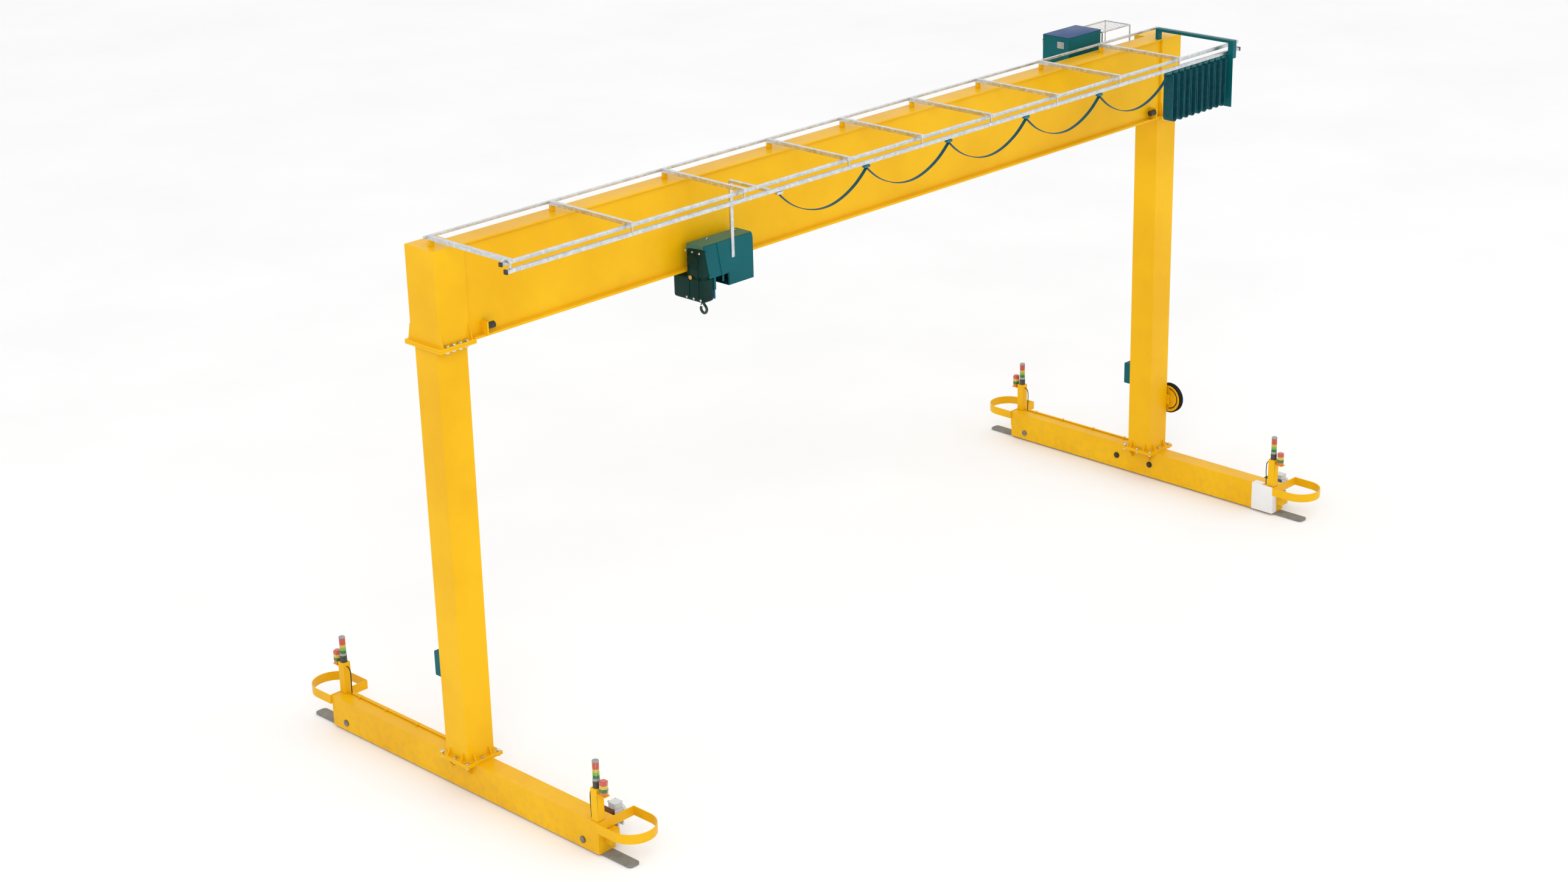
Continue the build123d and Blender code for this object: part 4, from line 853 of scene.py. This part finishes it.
class CRANE_OT_hoist_fittings(bpy.types.Operator):
    """Build the hoist's gear casting and folded panels, with bolts, sight glass, louvres and eyes"""
    bl_idname = "crane.hoist_fittings"
    bl_label = "Hoist fittings"

    def execute(self, context):
        gear_low, gear_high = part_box("gear_case")
        low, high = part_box("drum_case")

        def casting(bm):
            split = gear_low.z + 0.225
            back = high.y
            block(bm, (gear_low.x, gear_low.y, split + 0.004), (gear_high.x, back, gear_high.z), 0.030)
            block(bm, gear_low, (gear_high.x, gear_high.y, split), 0.034)
            block(bm, (gear_low.x + 0.014, gear_low.y + 0.014, split - 0.040),
                  (gear_high.x - 0.014, back - 0.014, split + 0.044), 0.006)
            # Ribs stiffen the casting, and a round cover closes its end.
            for y in (gear_low.y + 0.060, gear_low.y + 0.180):
                block(bm, (gear_low.x - 0.006, y - 0.007, gear_low.z + 0.040),
                      (gear_low.x + 0.004, y + 0.007, gear_high.z - 0.040), 0.004)
            turned(bm, capped((0, 0.066), (0.008, 0.066), (0.013, 0.060)),
                   (gear_low.x, gear_low.y + 0.120, gear_high.z - 0.110), -X, 40)
            turned(bm, capped((0, 0.020), (0.014, 0.020)),
                   (gear_low.x + 0.073, gear_low.y + 0.200, gear_low.z + 0.001), -Z, 6)
        body = make_piece("gear_casting", casting, ["casting"], 30)
        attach(body, "trolley")
        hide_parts("gear_case")

        def panels(bm):
            left, front, top = gear_low.x, low.y - 0.009, high.z + 0.022
            # The roof and the front sheet run on over the gear casting. The sheet's left edge and its
            # fold slant, and right of the fold it stands 9 mm proud.
            right, hem, back = high.x + 0.004, top - 0.006, high.y - 0.003
            fold = [(left + 0.186, hem), (left + 0.244, high.z - 0.296)]
            prism(bm, [(left + 0.006, back), (right, back), (right, low.y + 0.010), (left + 0.030, low.y + 0.010)],
                  Z, (high.z - 0.030, top), 0)
            prism(bm, [(left + 0.030, hem), *fold, (left + 0.088, high.z - 0.296)],
                  Y, (low.y - 0.003, low.y + 0.012), 1)
            prism(bm, [fold[0], (high.x - 0.006, hem), (right, high.z - 0.030), (right, low.z + 0.004),
                       (low.x + 0.188, low.z + 0.004), (low.x + 0.188, high.z - 0.290), fold[1]],
                  Y, (front, low.y + 0.004), 1)
            # The end sheet, and two strips in the corner that the front sheet leaves open.
            block(bm, (high.x, low.y + 0.016, low.z + 0.090),
                  (high.x + 0.014, high.y - 0.014, high.z - 0.060), 0.008, 2)
            block(bm, (low.x + 0.001, low.y + 0.008, gear_low.z + 0.014),
                  (low.x + 0.020, low.y + 0.020, low.z + 0.110), 0.002, 3)
            block(bm, (low.x + 0.120, low.y + 0.012, low.z + 0.050),
                  (low.x + 0.142, low.y + 0.020, low.z + 0.118), 0.003, 1)
        cover = make_piece("hoist_panels", panels, ["deck", "teal", "navy", "blue"], 30)
        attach(cover, "trolley")

        def fittings(bm):
            left = gear_low.x
            turned(bm, capped((0, 0.020), (0.006, 0.020), (0.009, 0.016)),
                   (left, gear_low.y + 0.155, gear_low.z + 0.225), -X, 24, 1)
            for dy in (0.030, 0.120, 0.210):
                for up in (gear_high.z - 0.030, gear_low.z + 0.030):
                    y = gear_low.y + dy
                    if y < gear_high.y - 0.02:
                        bolt(bm, (left, y, up), -X, 0.016, 0.009, 0)
            for dx, down in ((0.050, 0.030), (0.090, 0.260), (0.560, 0.030), (0.610, 0.380)):
                bolt(bm, (left + dx, low.y - 0.003, high.z - down), -Y, 0.011, 0.009, 2)
            # Louvres let the motor's heat out of the right end.
            for k in range(7):
                up = low.z + 0.090 + 0.030 * k
                block(bm, (high.x + 0.012, low.y + 0.050, up), (high.x + 0.018, high.y - 0.050, up + 0.012),
                      0.003, 2)
            turned(bm, capped((0, 0.016), (0.014, 0.016), (0.018, 0.011), (0.032, 0.010)),
                   (middle_of("tow_arm").x + 0.060, low.y + 0.060, high.z), Z, 16, 3)
            for dx in (0.070, 0.420):
                spot = Vector((low.x + dx, high.y - 0.060, high.z))
                turned(bm, capped((0, 0.018), (0.005, 0.018), (0.007, 0.008)), spot, Z, 16, 0)
                ring = [spot + Vector((0.014 * math.cos(t), 0, 0.018 + 0.014 * math.sin(t)))
                        for t in [TURN * k / 24 for k in range(24)]]
                sweep(bm, ring + ring[:1], round_section(0.004, 8), Y, 0)
        piece = make_piece("hoist_fittings", fittings, ["zinc", "sight", "teal", "housing"])
        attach(piece, "trolley")
        return {"FINISHED"}


class CRANE_OT_cabinet_fittings(bpy.types.Operator):
    """Fit the cabinet with its blue roof, side plate, hinges and lock"""
    bl_idname = "crane.cabinet_fittings"
    bl_label = "Cabinet fittings"

    def execute(self, context):
        low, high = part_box("cabinet")

        def fittings(bm):
            block(bm, (low.x - 0.004, low.y - 0.004, high.z), (high.x + 0.004, high.y, high.z + 0.005), 0.002, 0)
            block(bm, (low.x - 0.005, low.y + 0.060, high.z - 0.120),
                  (low.x, low.y + 0.150, high.z - 0.050), 0.002, 1)
            for k in range(6):
                up = low.z + 0.060 + 0.020 * k
                block(bm, (low.x - 0.005, low.y + 0.080, up), (low.x, high.y - 0.080, up + 0.009), 0.002, 2)
            for dx in (0.10, 0.20, 0.30, 0.40):
                turned(bm, capped((0, 0.018), (0.012, 0.018), (0.016, 0.012), (0.030, 0.011)),
                       (low.x + dx, low.y + 0.100, low.z), -Z, 16, 3)
        piece = make_piece("cabinet_roof_and_fittings", fittings, ["roof", "cap", "teal", "housing"])
        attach(piece, "root")
        face = low.y + CABINET_DEPTH + DOOR_FACE

        def door(bm):
            for up in (low.z + 0.060, high.z - 0.100):
                turned(bm, capped((0, 0.007), (0.040, 0.007)), (low.x, face, up), Z, 16, 0)
            block(bm, (low.x + 0.030, face, low.z + 0.030), (high.x - 0.080, face + 0.003, high.z - 0.030), 0.002, 1)
            turned(bm, capped((0, 0.014), (0.006, 0.014), (0.008, 0.011)),
                   (high.x - 0.050, face, low.z + 0.080), Y, 20, 0)
        piece = make_piece("cabinet_door_fittings", door, ["zinc", "teal"])
        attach(piece, "cabinet_door")
        return {"FINISHED"}


# The weld round the foot of each leg, its top and its head box: (height, half along X, half along Y).
RINGS = ((0.357, 0.150, 0.150), (4.219, 0.165, 0.145), (4.261, 0.164, 0.190))


class CRANE_OT_seams(bpy.types.Operator):
    """Lay the weld beads and the conduit along the steelwork"""
    bl_idname = "crane.seams"
    bl_label = "Seams and conduit"

    def execute(self, context):
        size = sizes()
        girder_low, girder_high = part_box("girder")

        def bead(bm, start, end):
            """One fillet, drawn in steps of about 30 mm that rise and fall a little."""
            start, end = Vector(start), Vector(end)
            steps = max(8, int((end - start).length / 0.030))
            line = [start.lerp(end, k / steps) + Z * (0.0008 * math.sin(2.3 * k)) for k in range(steps + 1)]
            ahead = (end - start).normalized()
            sweep(bm, line, round_section(size.bead, 6), ahead.orthogonal())

        def seams(bm):
            for side in (-1, 1):
                y = middle_of("girder").y + side * WEB_OUT
                for z in (girder_low.z + 0.022, girder_high.z - 0.012):
                    bead(bm, (girder_low.x + 0.06, y, z), (girder_high.x - 0.06, y, z))
            for name in SIDES:
                x = middle_of(f"head_box_{name}").x
                for z, half_x, half_y in RINGS:
                    corners = [(x + a * half_x, LEG_Y + b * half_y, z)
                               for a, b in ((-1, -1), (1, -1), (1, 1), (-1, 1))]
                    for start, end in zip(corners, corners[1:] + corners[:1]):
                        bead(bm, start, end)
        piece = make_piece("weld_beads", seams, ["enamel"], 70)
        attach(piece, "root")

        def conduits(bm):
            for name in SIDES:
                x = middle_of(f"head_box_{name}").x + 0.050
                top = CARRIAGE_TOP
                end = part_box(f"carriage_{name}")[1].y - NOSE - 0.100
                line = [Vector((x, y, top + 0.010)) for y in (0.160, 0.6, 1.1, end - 0.02)]
                line += [Vector((x, end, top + 0.012))]
                sweep(bm, line, round_section(0.009, 12), X)
                for y in (0.30, 0.75, 1.20, 1.60):
                    block(bm, (x - 0.022, y - 0.010, top), (x + 0.022, y + 0.010, top + 0.022), 0.004)
        piece = make_piece("carriage_conduits", conduits, ["enamel"], 40)
        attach(piece, "root")
        return {"FINISHED"}


# ---- finishes of the frame's own parts -----------------------------------------------------------
# Each node by its finish, with the width of its softened edges in millimetres.
FINISHES = {
    "enamel": {"girder": 3, "head_box_left": 4, "head_box_right": 4, "leg_left": 5, "leg_right": 5,
               "carriage_left": 6, "carriage_right": 6, "bumper_hoops": 1.5, "signal_posts": 4, "arm_posts": 3,
               "reel_bracket": 2},
    "teal": {"gear_case": 12, "drum_case": 1.8, "leg_boxes": 9, "end_frame": 2, "cabinet": 1.2,
             "cabinet_door": 1.5},
    "zinc": {"joint_bolts": 1.5, "track_arms": 0.8, "track_rails": 3, "cable_track": 0.8, "service_platform": 1,
             "tow_arm": 1.5},
    "steel": {"wheel_axles": 2, "trolley_frame": 2, "rope_drum": 0},
    "roller": {f"trolley_wheel_{i}": 0 for i in range(1, 5)},
    "forging": {"hook": 0, "hook_block": 2, "rope_sheave": 0, "hook_latch": 1},
    "motor": {"hoist_motor": 3},
    "cover": {"drive_cover": 0.8},
    "guard": {"floor_guards": 4},
    "rubber": {"trolley_buffers": 5, "carriage_plugs": 3, "track_caps": 3},
    "wheel": {f"wheel_{a}_{b}": 0 for a in SIDES for b in ("near", "far")},
    "nylon": {**{f"carrier_{i}": 2 for i in range(1, 5)}, "parked_carriers": 2},
}


class CRANE_OT_finishes(bpy.types.Operator):
    """Give the frame's own parts their finishes and soft edges"""
    bl_idname = "crane.finishes"
    bl_label = "Finishes"

    def execute(self, context):
        for paint, nodes in FINISHES.items():
            for name, edge in nodes.items():
                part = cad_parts[name]
                part.data.materials.clear()
                part.data.materials.append(paints()[paint])
                if edge:
                    weld = part.modifiers.new("weld", "WELD")
                    weld.merge_threshold = 0.00002
                    soften = part.modifiers.new("edges", "BEVEL")
                    soften.width, soften.segments = edge * MM, 2
                    soften.limit_method, soften.angle_limit = "ANGLE", math.radians(40)
                    even = part.modifiers.new("shading", "WEIGHTED_NORMAL")
                    even.keep_sharp = True
        return {"FINISHED"}


class CRANE_PT_panel(bpy.types.Panel):
    """Lists the crane's pieces"""
    bl_idname = "CRANE_PT_panel"
    bl_label = "Gantry crane"
    bl_space_type = "VIEW_3D"
    bl_region_type = "UI"
    bl_category = "Crane"

    def draw(self, context):
        for operator in OPERATORS:
            self.layout.operator(operator.bl_idname)
        for group in (colours(), sizes()):
            for name in group.__annotations__:
                self.layout.prop(group, name)


OPERATORS = (CRANE_OT_stage, CRANE_OT_festoon_cables, CRANE_OT_parked_cables, CRANE_OT_signal_leads,
             CRANE_OT_wire_rope, CRANE_OT_travel_drives, CRANE_OT_stack_lights, CRANE_OT_reel,
             CRANE_OT_hoist_fittings, CRANE_OT_cabinet_fittings, CRANE_OT_seams, CRANE_OT_finishes)
CLASSES = (CraneColours, CraneSizes, *OPERATORS, CRANE_PT_panel)


def register():
    for item in CLASSES:
        bpy.utils.register_class(item)
    bpy.types.Scene.crane_colours = bpy.props.PointerProperty(type=CraneColours)
    bpy.types.Scene.crane_sizes = bpy.props.PointerProperty(type=CraneSizes)


def unregister():
    del bpy.types.Scene.crane_sizes
    del bpy.types.Scene.crane_colours
    for item in reversed(CLASSES):
        bpy.utils.unregister_class(item)


def main():
    register()
    for operator in OPERATORS:
        group, name = operator.bl_idname.split(".")
        getattr(getattr(bpy.ops, group), name)()
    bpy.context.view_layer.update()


if __name__ == "__main__":
    main()
